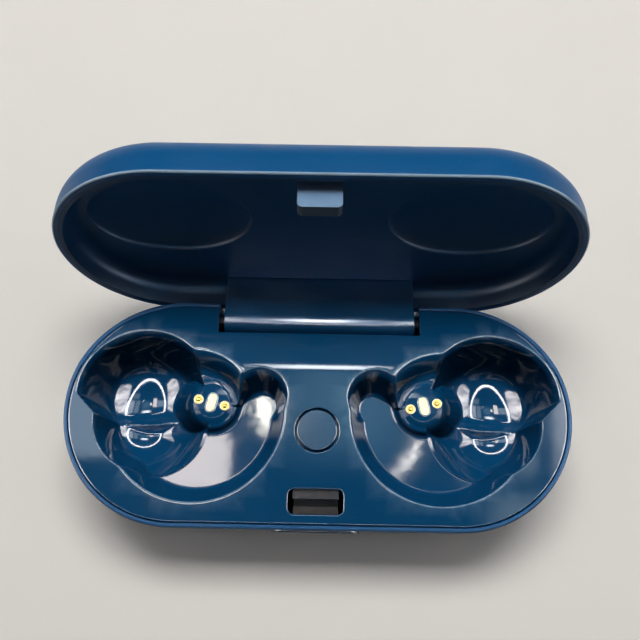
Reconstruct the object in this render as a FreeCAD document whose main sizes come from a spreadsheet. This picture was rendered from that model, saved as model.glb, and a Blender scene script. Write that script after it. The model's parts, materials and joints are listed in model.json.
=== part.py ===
import FreeCAD, Part
import os
import re
import Sketcher

# Charging case for a pair of wireless sport earbuds, shown open and empty.
# Millimetres. X runs along the case, +Y to the hinge, +Z up, origin under the base's centre.
# The lid's pieces are built closed and turned open about the hinge pin.

sizes = {
    # outside of the case
    "case_length": 107.0,
    "case_width": 48.0,
    "base_height": 22.0,
    "bottom_round": 6.0,
    "lid_depth": 11.5,
    "lid_round": 8.0,
    "parting_gap": 0.3,
    "crest_back": 9.7,
    "rear_drop": 1.6,
    "open_angle": 103.0,
    # base moulding
    "base_wall": 1.6,
    "floor_wall": 1.8,
    "rim_land": 0.9,
    # deck moulding that holds the earbuds
    "deck_plate": 2.6,
    "deck_gap": 0.15,
    "deck_wall": 1.2,
    "block_gap": 0.2,
    # upper lobe of each bay: a bowl for the earbud's body, cut off by a slanted shoulder
    "upper_x": 37.0,
    "upper_y": 3.2,
    "upper_radius": 14.1,
    "upper_depth": 14.5,
    "shoulder_x": 51.1,
    "shoulder_y": 3.1,
    "shoulder_angle": 225.0,
    # lower lobe of each bay
    "lower_x": 35.6,
    "lower_y": -1.7,
    "lower_radius": 11.6,
    "lower_wall": 6.0,
    "lower_depth": 13.5,
    # trough for the ear wing: a crescent with a round tip
    "trough_x": 25.8,
    "trough_y": -0.1,
    "trough_radius": 18.8,
    "trough_rear": 0.5,
    "trough_depth": 6.5,
    "trough_slope": 2.9,
    "wing_x": 12.3,
    "wing_y": 3.4,
    "wing_radius": 5.9,
    # shallow nest for the ear tip round the charging boss
    "nest_x": 26.8,
    "nest_y": -0.3,
    "nest_radius": 13.4,
    "nest_depth": 4.8,
    "nest_slope": 4.0,
    "boss_x": 22.9,
    "boss_y": 2.2,
    "boss_radius": 4.3,
    "boss_depth": 3.8,
    "pedestal_radius": 5.2,
    "pedestal_spread": 0.42,
    "pedestal_sunk": 1.0,
    # charging contacts on the boss
    "contact_x": 2.85,
    "contact_y": 0.65,
    "pin_tip": 0.4,
    "pin_proud": 0.55,
    "pin_round": 0.27,
    "pin_length": 3.2,
    "pin_spring_play": 0.05,
    "pin_spring_wall": 0.15,
    "barrel_bore": 0.5,
    "barrel_wall": 0.25,
    "barrel_ring": 0.85,
    "ring_proud": 0.1,
    "keeper_length": 3.9,
    "keeper_width": 1.9,
    "keeper_thick": 0.6,
    "keeper_proud": 0.2,
    "keeper_tilt": 13.0,
    "contact_skin": 1.5,
    "contact_block_radius": 3.7,
    "contact_block_tall": 4.7,
    "contact_board_radius": 4.6,
    "contact_board_thick": 0.8,
    "pocket_gap": 0.15,
    "magnet_x": 37.0,
    "magnet_y": 1.0,
    "magnet_radius": 4.0,
    "magnet_thick": 1.8,
    "magnet_seat": 0.3,
    "magnet_seat_tall": 3.0,
    # pairing button in the middle of the deck
    "button_y": -3.8,
    "button_radius": 4.25,
    "button_groove": 0.35,
    "button_flange": 5.3,
    "button_flange_thick": 0.9,
    "button_travel": 0.4,
    "button_stem": 1.2,
    "button_round": 0.3,
    "switch_side": 4.2,
    "switch_tall": 2.1,
    "plunger_radius": 1.0,
    "plunger_tall": 0.4,
    # latch: slot in the deck, sliding catch, front button, springs
    "slot_inset": 5.6,
    "slot_half": 5.65,
    "slot_wide": 5.0,
    "catch_half": 4.8,
    "catch_deep": 7.8,
    "catch_plate": 1.2,
    "catch_front_bar": 2.2,
    "catch_bar_inset": 3.2,
    "catch_bar_thick": 1.6,
    "catch_post_inset": 8.0,
    "catch_post_thick": 1.2,
    "lip_reach": 1.8,
    "lip_thick": 1.15,
    "release_travel": 1.2,
    "release_length": 18.4,
    "release_tall": 5.0,
    "release_down": 6.3,
    "release_proud": 0.5,
    "release_gap": 0.2,
    "release_flange": 0.95,
    "release_round": 0.4,
    "flange_margin": 1.0,
    "stop_gap": 0.05,
    "rail_wall": 1.2,
    "rail_ledge": 1.0,
    "rail_gap": 0.15,
    "rail_side": 0.6,
    "rail_stop": 3.4,
    "latch_spring_radius": 1.1,
    "latch_spring_bore": 0.75,
    "latch_spring_x": 3.0,
    # latch tab on the lid
    "tab_half": 4.1,
    "tab_inset": 4.4,
    "tab_thick": 1.6,
    "tab_drop": 3.5,
    "nose_reach": 1.1,
    "nose_thick": 0.9,
    "nose_gap": 0.15,
    "tab_corner": 1.0,
    "tab_foot": 1.5,
    "tab_foot_thick": 1.0,
    # hinge
    "hinge_inset": 3.3,
    "hinge_down": 4.7,
    "barrel_radius": 3.0,
    "block_half": 21.0,
    "block_lean": 0.9,
    "block_flange": 2.2,
    "block_flange_thick": 1.3,
    "block_back": 1.4,
    "notch_half": 22.0,
    "notch_gap": 0.45,
    "notch_deep": 9.0,
    "pin_radius": 0.8,
    "pin_play": 0.05,
    "cheek_gap": 0.3,
    "cheek_thick": 3.0,
    "cheek_front": 2.7,
    "frame_plate": 1.6,
    "frame_drop": 6.1,
    "frame_ear": 4.1,
    "frame_deep": 5.0,
    "hinge_spring_outer": 1.5,
    "hinge_spring_inner": 0.95,
    "hinge_spring_wide": 1.0,
    # lid
    "lid_wall": 1.2,
    "liner_gap": 0.05,
    "liner_wall": 0.8,
    "liner_depth": 5.5,
    "liner_floor": 1.2,
    "liner_round": 2.6,
    "liner_back_round": 3.4,
    "recess_x": 30.3,
    "recess_y": -3.9,
    "recess_long": 16.6,
    "recess_wide": 11.6,
    "recess_deep": 2.9,
    "recess_skin": 1.0,
    "lid_post_radius": 1.5,
    "lid_post_pitch": 12.6,
    # boards, battery and port inside the base
    "board_half": 16.0,
    "board_deep": 26.0,
    "board_thick": 1.0,
    "board_clearance": 1.0,
    "post_radius": 2.0,
    "post_x": 12.0,
    "post_y": 7.0,
    "screw_head": 1.4,
    "screw_head_tall": 0.8,
    "screw_shank": 0.7,
    "screw_length": 3.0,
    "screw_play": 0.05,
    "hinge_post_x": 27.5,
    "hinge_post_radius": 1.9,
    "battery_long": 34.0,
    "battery_wide": 22.0,
    "battery_tall": 5.2,
    "battery_round": 1.2,
    "battery_gap": 1.0,
    "pad_thick": 0.2,
    "pad_inset": 2.0,
    "lead_wide": 3.0,
    "lead_thick": 0.4,
    "lead_inset": 1.5,
    "flex_thick": 0.3,
    "flex_wide": 3.0,
    "flex_start": 14.0,
    "flex_end": 21.5,
    "flex_edge": 0.6,
    "flex_run": 1.6,
    "chip_tall": 1.0,
    "charger_chip_x": 3.0,
    "charger_chip_y": 3.0,
    "charger_chip_side": 6.0,
    "control_chip_x": -8.0,
    "control_chip_y": 3.0,
    "control_chip_side": 5.0,
    "coil_chip_x": -2.0,
    "coil_chip_y": 4.0,
    "coil_chip_side": 3.5,
    "light_chip_wide": 1.6,
    "light_chip_deep": 1.0,
    "light_chip_inset": 0.2,
    "port_z": 7.2,
    "port_length": 8.94,
    "port_tall": 3.26,
    "port_deep": 7.2,
    "port_skin": 0.3,
    "port_back": 0.6,
    "port_recess": 0.2,
    "port_gap": 0.2,
    "tongue_half": 3.3,
    "tongue_thick": 0.7,
    "tongue_deep": 5.2,
    "port_board_half": 8.5,
    "port_board_inset": 2.0,
    "port_board_deep": 10.0,
    "port_board_thick": 0.8,
    "port_post_x": 6.4,
    "port_post_inset": 1.8,
    "light_radius": 0.6,
    "light_gap": 0.05,
    "light_pitch": 4.0,
    "light_bar": 1.0,
}

# places that several pieces share, written from the sizes above
places = {
    "hinge_y": "case_width / 2 - hinge_inset",
    "hinge_z": "base_height - hinge_down",
    "deck_under": "base_height - deck_plate",
    "front_inside": "base_wall - case_width / 2",
    "boss_top": "base_height - boss_depth",
    "block_top": "boss_top - contact_skin",
    "block_bottom": "block_top - contact_block_tall",
    "magnet_top": "base_height - upper_depth - deck_wall - magnet_seat",
    "board_bottom": "floor_wall + pad_thick + battery_tall + board_clearance",
    "board_top": "board_bottom + board_thick",
    "trough_under": "base_height - trough_depth - deck_wall",
    "tab_front": "tab_inset - case_width / 2",
    "tab_tip": "base_height - tab_drop",
    "lip_bottom": "tab_tip + nose_thick + nose_gap",
    "lip_top": "lip_bottom + lip_thick",
    "slot_y": "slot_inset - case_width / 2",
    "catch_bottom": "base_height - catch_deep",
    "catch_bar_front": "catch_bar_inset - case_width / 2",
    "catch_bar_back": "catch_bar_front + catch_bar_thick",
    "catch_post_front": "catch_post_inset - case_width / 2",
    "catch_back": "catch_post_front + catch_post_thick",
    "lip_front": "catch_post_front - lip_reach",
    "release_z": "base_height - release_down",
    "rail_inside": "catch_half + rail_side",
    "rail_end": "catch_back + rail_stop",
    "rail_under": "catch_bottom - rail_gap - rail_ledge",
    "lid_rim": "base_height + parting_gap",
    "lid_top": "base_height + lid_depth",
    "liner_face": "base_height + liner_depth",
    "liner_back": "liner_face + liner_floor",
    "liner_inset": "lid_wall + liner_gap",
    "notch_floor": "base_height - notch_deep",
    "frame_bottom": "hinge_z - frame_drop",
    "frame_top": "frame_bottom + frame_plate",
    "frame_front": "frame_back - frame_deep",
    "frame_back": "case_width / 2 - base_wall - block_gap",
    "cheek_out": "notch_half + cheek_gap + cheek_thick",
    "port_back_y": "case_width / 2 - port_recess - port_deep",
    "port_board_top": "port_z - port_tall / 2",
    "port_board_bottom": "port_board_top - port_board_thick",
    "port_board_back": "case_width / 2 - port_board_inset",
    "port_board_front": "port_board_back - port_board_deep",
    "port_post_y": "port_board_front + port_post_inset",
    "battery_back": "port_board_front - battery_gap",
    "battery_front": "battery_back - battery_wide",
    "lead_y": "battery_back - lead_inset",
    "light_z": "board_top + chip_tall / 2",
}

light_count = 5
post_count = 4
beyond = 5.0
sides = {"left": -1, "right": 1}

doc = FreeCAD.newDocument("earbud_case")
sheet = doc.addObject("Spreadsheet::Sheet", "sizes")
for row, (alias, value) in enumerate(sizes.items(), 1):
    sheet.set("A%d" % row, alias)
    sheet.set("B%d" % row, str(value))
    sheet.setAlias("B%d" % row, alias)
reader = doc.addObject("Spreadsheet::Sheet", "reader")
doc.recompute()
pieces = []


# Expressions
def sized(text):
    # each word that is a place is written out, and each that is a size becomes a cell of the sheet
    def swap(word):
        if word.group() in places:
            return "(" + sized(places[word.group()]) + ")"
        return "sizes." + word.group() if word.group() in sizes else word.group()
    return re.sub(r"[a-z]\w*", swap, str(text))


def place(solid, x, y, z):
    solid.setExpression("Placement.Base.x", sized(x))
    solid.setExpression("Placement.Base.y", sized(y))
    solid.setExpression("Placement.Base.z", sized(z))
    return solid


# Plain solids: spans are (low, high) pairs, centres lie on the solid's own axis
def box(name, x, y, z):
    solid = doc.addObject("Part::Box", name)
    solid.setExpression("Length", sized("(%s) - (%s)" % (x[1], x[0])))
    solid.setExpression("Width", sized("(%s) - (%s)" % (y[1], y[0])))
    solid.setExpression("Height", sized("(%s) - (%s)" % (z[1], z[0])))
    return place(solid, x[0], y[0], z[0])


def rod(name, axis, centre, radius, span):
    turns = {
        "x": FreeCAD.Rotation(FreeCAD.Vector(0, 1, 0), 90),
        "y": FreeCAD.Rotation(FreeCAD.Vector(1, 0, 0), -90),
        "z": FreeCAD.Rotation(),
    }
    solid = doc.addObject("Part::Cylinder", name)
    solid.setExpression("Radius", sized(radius))
    solid.setExpression("Height", sized("(%s) - (%s)" % (span[1], span[0])))
    solid.Placement = FreeCAD.Placement(FreeCAD.Vector(), turns[axis])
    if axis == "x":
        return place(solid, span[0], centre[0], centre[1])
    if axis == "y":
        return place(solid, centre[0], span[0], centre[1])
    return place(solid, centre[0], centre[1], span[0])


def cone(name, centre, low_radius, high_radius, z):
    solid = doc.addObject("Part::Cone", name)
    solid.setExpression("Radius1", sized(low_radius))
    solid.setExpression("Radius2", sized(high_radius))
    solid.setExpression("Height", sized("(%s) - (%s)" % (z[1], z[0])))
    return place(solid, centre[0], centre[1], z[0])


def ellipsoid(name, centre, radii):
    solid = doc.addObject("Part::Ellipsoid", name)
    solid.setExpression("Radius1", sized(radii[2]))
    solid.setExpression("Radius2", sized(radii[0]))
    solid.setExpression("Radius3", sized(radii[1]))
    return place(solid, *centre)


# Booleans, fillets and mirrors
def fuse(name, *solids):
    result = doc.addObject("Part::MultiFuse", name)
    result.Shapes = list(solids)
    result.Refine = True
    return result


def cut(name, base, *tools):
    result = doc.addObject("Part::Cut", name)
    result.Base = base
    result.Tool = tools[0] if len(tools) == 1 else fuse(name + "_tools", *tools)
    return result


def common(name, *solids):
    result = doc.addObject("Part::MultiCommon", name)
    result.Shapes = list(solids)
    return result


def rounded(name, source, radius, pick):
    doc.recompute()
    result = doc.addObject("Part::Fillet", name)
    result.Base = source
    result.Edges = [(i, radius, radius) for i, edge in enumerate(source.Shape.Edges, 1) if pick(edge)]
    return result


def mirrored(name, source):
    result = doc.addObject("Part::Mirroring", name)
    result.Source = source
    result.Normal = FreeCAD.Vector(1, 0, 0)
    return result


def level(height):
    # picks the edges that lie flat at this height
    def pick(edge):
        bounds = edge.BoundBox
        return abs(bounds.ZMin - height) < 0.01 and abs(bounds.ZMax - height) < 0.01
    return pick


# Stadium outline: straight sides with half-round ends, upright or lying along Y
def pill(name, length, width, z):
    reach = "((%s) - (%s)) / 2" % (length, width)
    middle = box(name + "_middle", ("-" + reach, reach), ("-(%s) / 2" % width, "(%s) / 2" % width), z)
    ends = [rod(name + "_end_" + side, "z", ("%d * %s" % (sign, reach), 0), "(%s) / 2" % width, z)
            for side, sign in sides.items()]
    return fuse(name, middle, *ends)


def lying_pill(name, length, tall, height, y):
    reach = "((%s) - (%s)) / 2" % (length, tall)
    middle = box(name + "_middle", ("-" + reach, reach), y,
                 ("%s - (%s) / 2" % (height, tall), "%s + (%s) / 2" % (height, tall)))
    ends = [rod(name + "_end_" + side, "y", ("%d * %s" % (sign, reach), height), "(%s) / 2" % tall, y)
            for side, sign in sides.items()]
    return fuse(name, middle, *ends)


# A body padded both ways from a closed outline on one of its own planes
def profile(name, plane, points, thickness):
    body = doc.addObject("PartDesign::Body", name)
    planes = {feature.Role: feature for feature in body.Origin.OriginFeatures}
    sketch = body.newObject("Sketcher::SketchObject", name + "_outline")
    sketch.AttachmentSupport = [(planes[plane], "")]
    sketch.MapMode = "FlatFace"
    corners = [(value(u), value(v)) for u, v in points]
    count = len(corners)
    for i in range(count):
        start = FreeCAD.Vector(corners[i][0], corners[i][1], 0)
        end = FreeCAD.Vector(corners[(i + 1) % count][0], corners[(i + 1) % count][1], 0)
        sketch.addGeometry(Part.LineSegment(start, end))
    for i in range(count):
        sketch.addConstraint(Sketcher.Constraint("Coincident", i, 2, (i + 1) % count, 1))
    for i, (u, v) in enumerate(points):
        across = sketch.addConstraint(Sketcher.Constraint("DistanceX", i, 1, corners[i][0]))
        sketch.setExpression("Constraints[%d]" % across, sized(u))
        upward = sketch.addConstraint(Sketcher.Constraint("DistanceY", i, 1, corners[i][1]))
        sketch.setExpression("Constraints[%d]" % upward, sized(v))
    pad = body.newObject("PartDesign::Pad", name + "_pad")
    pad.Profile = sketch
    pad.SideType = "Symmetric"
    pad.setExpression("Length", sized(thickness))
    body.Tip = pad
    return body


def value(text):
    # the number that an expression gives, read back from a sheet of its own
    reader.set("A1", "=" + sized(text))
    reader.recompute()
    return float(reader.get("A1"))


def piece(name, solid):
    solid.Label = name
    pieces.append(solid)
    return solid


def lid_piece(name, solid):
    turn = "placement(vector(0; 0; 0); rotation(vector(1; 0; 0); -open_angle); vector(0; hinge_y; hinge_z))"
    solid.setExpression("Placement", sized(turn))
    return piece(name, solid)


# The rim and the deck fall away behind a crest, to let the lid's rear edge swing past
def rear_slope(name):
    run = "(case_width / 2 - crest_back)"
    wedge = box(name, ("-case_length", "case_length"), ("crest_back", "crest_back + case_width"),
                ("base_height", "base_height + %s" % beyond))
    turn = "placement(vector(-case_length; crest_back; base_height); "
    turn += "rotation(vector(1; 0; 0); -atan(rear_drop / %s)))" % run
    for path in ("Placement.Base.x", "Placement.Base.y", "Placement.Base.z"):
        wedge.setExpression(path, None)
    wedge.setExpression("Placement", sized(turn))
    return wedge


# Screws: head, shank and the hole that takes them; down is 1 for a screw driven downwards
def screw(name, x, y, seat, down=1):
    above = (seat, "%s + screw_head_tall" % seat)
    head = above if down == 1 else ("%s - screw_head_tall" % seat, seat)
    shank = ("%s - screw_length" % seat, seat) if down == 1 else (seat, "%s + screw_length" % seat)
    return fuse(name, rod(name + "_head", "z", (x, y), "screw_head", head),
                rod(name + "_shank", "z", (x, y), "screw_shank", shank))


def screw_hole(name, x, y, z):
    return rod(name, "z", (x, y), "screw_shank + screw_play", z)


# Base moulding
def base_shell():
    outer = pill("base_outer", "case_length", "case_width", (0, "base_height"))
    outer = rounded("base_outer_round", outer, sizes["bottom_round"], level(0))
    cavity = pill("base_cavity", "case_length - 2 * base_wall", "case_width - 2 * base_wall",
                  ("floor_wall", "base_height + %s" % beyond))
    cavity = rounded("base_cavity_round", cavity, max(sizes["bottom_round"] - sizes["base_wall"], 0.5),
                     level(sizes["floor_wall"]))
    rebate = pill("base_rebate", "case_length - 2 * rim_land", "case_width - 2 * rim_land",
                  ("deck_under", "base_height + %s" % beyond))
    notch = box("base_notch", ("-notch_half", "notch_half"), ("frame_front - block_gap", "case_width"),
                ("notch_floor", "base_height + %s" % beyond))
    front = ("-case_width / 2 - %s" % beyond, "-case_width / 2 + base_wall + block_gap")
    window = lying_pill("base_release_window", "release_length + 2 * release_gap",
                        "release_tall + 2 * release_gap", "release_z", front)
    port = lying_pill("base_port_window", "port_length + 2 * port_gap", "port_tall + 2 * port_gap", "port_z",
                      ("case_width / 2 - base_wall - block_gap", "case_width"))
    lights = [rod("base_light_%d" % i, "y", (light_place(i), "light_z"), "light_radius + light_gap", front)
              for i in range(light_count)]
    shell = cut("base_hollow", outer, cavity, rebate, rear_slope("base_slope"), notch, window, port, *lights)
    posts = []
    holes = []
    for side, sign in sides.items():
        posts.append(rod("hinge_post_" + side, "z", ("%d * hinge_post_x" % sign, screw_row()),
                         "hinge_post_radius", ("floor_wall / 2", "frame_bottom")))
        holes.append(screw_hole("hinge_post_hole_" + side, "%d * hinge_post_x" % sign, screw_row(),
                                ("frame_bottom - screw_length - screw_play", "frame_bottom + 1")))
        posts.append(rod("port_post_" + side, "z", ("%d * port_post_x" % sign, "port_post_y"),
                         "post_radius", ("floor_wall / 2", "port_board_bottom")))
        holes.append(screw_hole("port_post_hole_" + side, "%d * port_post_x" % sign, "port_post_y",
                                ("port_board_bottom - screw_length", "port_board_bottom + 1")))
    return piece("base_shell", cut("base_shell", fuse("base_posted", shell, *posts), *holes))


def screw_row():
    return "(frame_front + frame_back) / 2"


def light_place(i):
    return "%s * light_pitch" % (i - (light_count - 1) / 2)


# Space that a bay takes out of the deck, on the right-hand side
def bay_space(name):
    centre = ("upper_x", "upper_y", "base_height")
    upper = ellipsoid(name + "_upper_full", centre, ("upper_radius", "upper_radius", "upper_depth"))
    shoulder = box(name + "_shoulder", (0, "case_width"), (0, "case_width"), (0, "case_width"))
    shoulder.Placement = FreeCAD.Placement(FreeCAD.Vector(), FreeCAD.Rotation())
    for path in ("Placement.Base.x", "Placement.Base.y", "Placement.Base.z"):
        shoulder.setExpression(path, None)
    corner = "vector(shoulder_x + 1; shoulder_y + 1; 0)"
    turn = "placement(%s; rotation(vector(0; 0; 1); shoulder_angle))" % corner
    shoulder.setExpression("Placement", sized(turn))
    upper = cut(name + "_upper", upper, shoulder)
    lower_rim = "(base_height - lower_wall)"
    lower_wall = rod(name + "_lower_wall", "z", ("lower_x", "lower_y"), "lower_radius",
                     (lower_rim, "base_height + %s" % beyond))
    lower = ellipsoid(name + "_lower", ("lower_x", "lower_y", lower_rim),
                      ("lower_radius", "lower_radius", "lower_depth - lower_wall"))
    floor = "(base_height - trough_depth)"
    slope = "trough_slope / trough_depth * %s" % beyond
    top = "base_height + %s" % beyond
    trough = cone(name + "_trough_full", ("trough_x", "trough_y"), "trough_radius - trough_slope",
                  "trough_radius + %s" % slope, (floor, top))
    rear = box(name + "_trough_rear", (0, "case_length"), ("-case_width", "trough_rear"), (0, "case_width"))
    trough = common(name + "_trough", trough, rear)
    wing = cone(name + "_wing", ("wing_x", "wing_y"), "wing_radius - trough_slope",
                "wing_radius + %s" % slope, (floor, top))
    nest = cone(name + "_nest", ("nest_x", "nest_y"), "nest_radius - nest_slope",
                "nest_radius + nest_slope / nest_depth * %s" % beyond, ("base_height - nest_depth", top))
    pedestal_foot = "base_height - trough_depth - pedestal_sunk"
    stem_radius = "pedestal_radius + pedestal_spread * (trough_depth + pedestal_sunk - nest_depth)"
    pedestal = cone(name + "_pedestal", ("boss_x", "boss_y"), stem_radius, "pedestal_radius",
                    (pedestal_foot, "base_height - nest_depth"))
    stem = rod(name + "_stem", "z", ("boss_x", "boss_y"), stem_radius, (0, pedestal_foot))
    boss = rod(name + "_boss", "z", ("boss_x", "boss_y"), "boss_radius", (0, "boss_top"))
    lobes = fuse(name + "_lobes", upper, lower_wall, lower, trough, wing, nest)
    return cut(name, lobes, pedestal, stem, boss)


# Material that carries a bay below the deck plate, on the right-hand side
def bay_block(name):
    upper = ellipsoid(name + "_upper", ("upper_x", "upper_y", "base_height"),
                      ("upper_radius + deck_wall", "upper_radius + deck_wall", "upper_depth + deck_wall"))
    lower = ellipsoid(name + "_lower", ("lower_x", "lower_y", "base_height - lower_wall"),
                      ("lower_radius + deck_wall", "lower_radius + deck_wall",
                       "lower_depth - lower_wall + deck_wall"))
    lower_wall = rod(name + "_lower_wall", "z", ("lower_x", "lower_y"), "lower_radius + deck_wall",
                     ("base_height - lower_wall", "deck_under"))
    trough = rod(name + "_trough_full", "z", ("trough_x", "trough_y"), "trough_radius + deck_wall",
                 ("trough_under", "deck_under"))
    rear = box(name + "_trough_rear", (0, "case_length"), ("-case_width", "trough_rear + deck_wall"),
               (0, "case_width"))
    trough = common(name + "_trough", trough, rear)
    shallow = ("trough_under", "deck_under")
    wing = rod(name + "_wing", "z", ("wing_x", "wing_y"), "wing_radius + deck_wall", shallow)
    nest = rod(name + "_nest", "z", ("nest_x", "nest_y"), "nest_radius + deck_wall", shallow)
    seat = rod(name + "_magnet_seat", "z", ("magnet_x", "magnet_y"), "magnet_radius",
               ("magnet_top", "magnet_top + magnet_seat_tall"))
    inside = pill(name + "_inside", "case_length - 2 * base_wall - 2 * block_gap",
                  "case_width - 2 * base_wall - 2 * block_gap", (0, "deck_under"))
    lobes = fuse(name + "_lobes", upper, lower, lower_wall, trough, wing, nest, seat)
    return common(name, lobes, inside)


# Holes for the contact parts, in the boss and up from below it
def contact_space(name, sign):
    centre = ("%d * boss_x" % sign, "boss_y")
    block = rod(name + "_block", "z", centre, "contact_block_radius + pocket_gap", (0, "block_top"))
    board = rod(name + "_board", "z", centre, "contact_board_radius + pocket_gap", (0, "block_bottom"))
    pins = [rod("%s_pin_%s" % (name, row), "z", contact_place(sign, step), "barrel_bore + barrel_wall",
                ("block_top", "base_height")) for row, step in contact_rows.items()]
    return fuse(name, block, board, keeper_plate_solid(name + "_keeper", sign), *pins)


contact_rows = {"outer": 1, "inner": -1}


def contact_place(sign, step):
    return ("%d * (boss_x + %d * contact_x)" % (sign, step), "boss_y + %d * contact_y" % step)


def keeper_plate_solid(name, sign):
    low = "boss_top - keeper_thick + keeper_proud"
    high = "boss_top + keeper_proud"
    reach = "(keeper_length - keeper_width) / 2"
    half = "keeper_width / 2"
    middle = box(name + "_middle", ("-" + half, half), ("-" + reach, reach), (low, high))
    ends = [rod("%s_end_%d" % (name, step), "z", (0, "%d * %s" % (step, reach)), half, (low, high))
            for step in (-1, 1)]
    plate = fuse(name, middle, *ends)
    turn = "placement(vector(%d * boss_x; boss_y; 0); rotation(vector(0; 0; 1); %d * keeper_tilt))"
    plate.setExpression("Placement", sized(turn % (sign, sign)))
    return plate


# Deck moulding
def deck():
    inset = "2 * (rim_land + deck_gap)"
    plate = pill("deck_plate_solid", "case_length - " + inset, "case_width - " + inset,
                 ("deck_under", "base_height"))
    block = bay_block("bay_block")
    solids = [plate, block, mirrored("bay_block_left", block)]
    rail_z = ("rail_under", "deck_under")
    solids.append(box("rail_back", ("-rail_inside - rail_wall", "rail_inside + rail_wall"),
                      ("rail_end", "rail_end + rail_wall"), rail_z))
    rail_front = "front_inside + release_flange + stop_gap + release_travel + block_gap"
    for side, sign in sides.items():
        wall = sorted_span(sign, "rail_inside", "rail_inside + rail_wall")
        ledge = sorted_span(sign, "catch_half - rail_ledge", "rail_inside + rail_wall")
        solids.append(box("rail_" + side, wall, (rail_front, "rail_end + rail_wall"), rail_z))
        solids.append(box("rail_ledge_" + side, ledge, (rail_front, "rail_end + rail_wall"),
                          ("rail_under", "catch_bottom - rail_gap")))
        for row, step in {"front": -1, "rear": 1}.items():
            solids.append(rod("board_post_%s_%s" % (side, row), "z",
                              ("%d * post_x" % sign, "%d * post_y" % step), "post_radius",
                              ("board_top", "trough_under + deck_wall / 2")))
    body = fuse("deck_solid", *solids)
    space = bay_space("bay_space")
    above = "base_height + %s" % beyond
    slot_rear = "slot_y + slot_wide / 2"
    tools = [space, mirrored("bay_space_left", space), rear_slope("deck_slope")]
    tools.append(box("deck_notch", ("-notch_half", "notch_half"),
                     ("hinge_y - barrel_radius - notch_gap", "case_width"), (0, above)))
    tools.append(rod("deck_button_hole", "z", (0, "button_y"), "button_radius + button_groove",
                     ("deck_under - 1", above)))
    tools.append(box("deck_slot", ("-slot_half", "slot_half"), ("slot_y - slot_wide / 2", slot_rear),
                     ("deck_under - 1", above)))
    tools.append(box("deck_relief", ("-catch_half - pocket_gap", "catch_half + pocket_gap"),
                     (slot_rear + " - 1", "catch_back + release_travel + block_gap"),
                     ("deck_under - 1", "lip_top + block_gap")))
    for side, sign in sides.items():
        tools.append(contact_space("contact_space_" + side, sign))
        for row, step in {"front": -1, "rear": 1}.items():
            tools.append(screw_hole("board_post_hole_%s_%s" % (side, row), "%d * post_x" % sign,
                                    "%d * post_y" % step,
                                    ("board_top - 1", "board_bottom + screw_length + screw_play")))
    return piece("deck", cut("deck", body, *tools))


def sorted_span(sign, near, far):
    if sign > 0:
        return (near, far)
    return ("-(%s)" % far, "-(%s)" % near)


# Charging contacts of one bay: block, board, barrels, sprung pins, plate and flexible strip
def contacts(side, sign):
    centre = ("%d * boss_x" % sign, "boss_y")
    bore = "barrel_bore + barrel_wall"
    block = rod("contact_block_solid_" + side, "z", centre, "contact_block_radius",
                ("block_bottom", "block_top"))
    bores = [rod("contact_block_bore_%s_%s" % (side, row), "z", contact_place(sign, step), bore,
                 ("block_bottom - 1", "block_top + 1")) for row, step in contact_rows.items()]
    piece("contact_block_" + side, cut("contact_block_" + side, block, *bores))
    board_low = "block_bottom - contact_board_thick"
    piece("contact_board_" + side, rod("contact_board_" + side, "z", centre, "contact_board_radius",
                                       (board_low, "block_bottom")))
    piece("keeper_plate_" + side, keeper_plate_solid("keeper_plate_" + side, sign))
    barrels = []
    pin_top = "boss_top + pin_proud"
    pin_low = pin_top + " - pin_length"
    floor = "block_bottom + barrel_wall"
    for row, step in contact_rows.items():
        name = "%s_%s" % (side, row)
        place_xy = contact_place(sign, step)
        tube = rod("barrel_tube_" + name, "z", place_xy, bore, ("block_bottom", "boss_top"))
        ring = rod("barrel_ring_" + name, "z", place_xy, "barrel_ring", ("boss_top", "boss_top + ring_proud"))
        hollow = rod("barrel_hollow_" + name, "z", place_xy, "barrel_bore", (floor, "base_height"))
        barrels.append(cut("barrel_" + name, fuse("barrel_solid_" + name, tube, ring), hollow))
        shank = rod("pin_shank_" + name, "z", place_xy, "pin_tip", (pin_low, pin_top))
        piece("contact_pin_" + name, rounded("contact_pin_" + name, shank, sizes["pin_round"],
                                             level(value(pin_top))))
        coil = rod("pin_coil_" + name, "z", place_xy, "pin_tip - pin_spring_play", (floor, pin_low))
        core = rod("pin_coil_core_" + name, "z", place_xy, "pin_tip - pin_spring_play - pin_spring_wall",
                   (floor, pin_low))
        piece("contact_spring_" + name, cut("contact_spring_" + name, coil, core))
    piece("contact_barrels_" + side, fuse("contact_barrels_" + side, *barrels))
    flex = profile("contact_flex_" + side, "XZ_Plane", [
        ("%d * flex_start" % sign, "board_top"),
        ("%d * (board_half + flex_edge)" % sign, "board_top"),
        ("%d * (board_half + flex_edge + flex_run)" % sign, board_low + " - flex_thick"),
        ("%d * flex_end" % sign, board_low + " - flex_thick"),
        ("%d * flex_end" % sign, board_low),
        ("%d * (board_half + flex_edge + flex_run - flex_thick / 3)" % sign, board_low),
        ("%d * (board_half + flex_edge - flex_thick / 3)" % sign, "board_top + flex_thick"),
        ("%d * flex_start" % sign, "board_top + flex_thick"),
    ], "flex_wide")
    flex.setExpression("Placement.Base.y", sized("boss_y"))
    piece("contact_flex_" + side, flex)
    piece("bay_magnet_" + side, rod("bay_magnet_" + side, "z", ("%d * magnet_x" % sign, "magnet_y"),
                                    "magnet_radius", ("magnet_top - magnet_thick", "magnet_top")))


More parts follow.
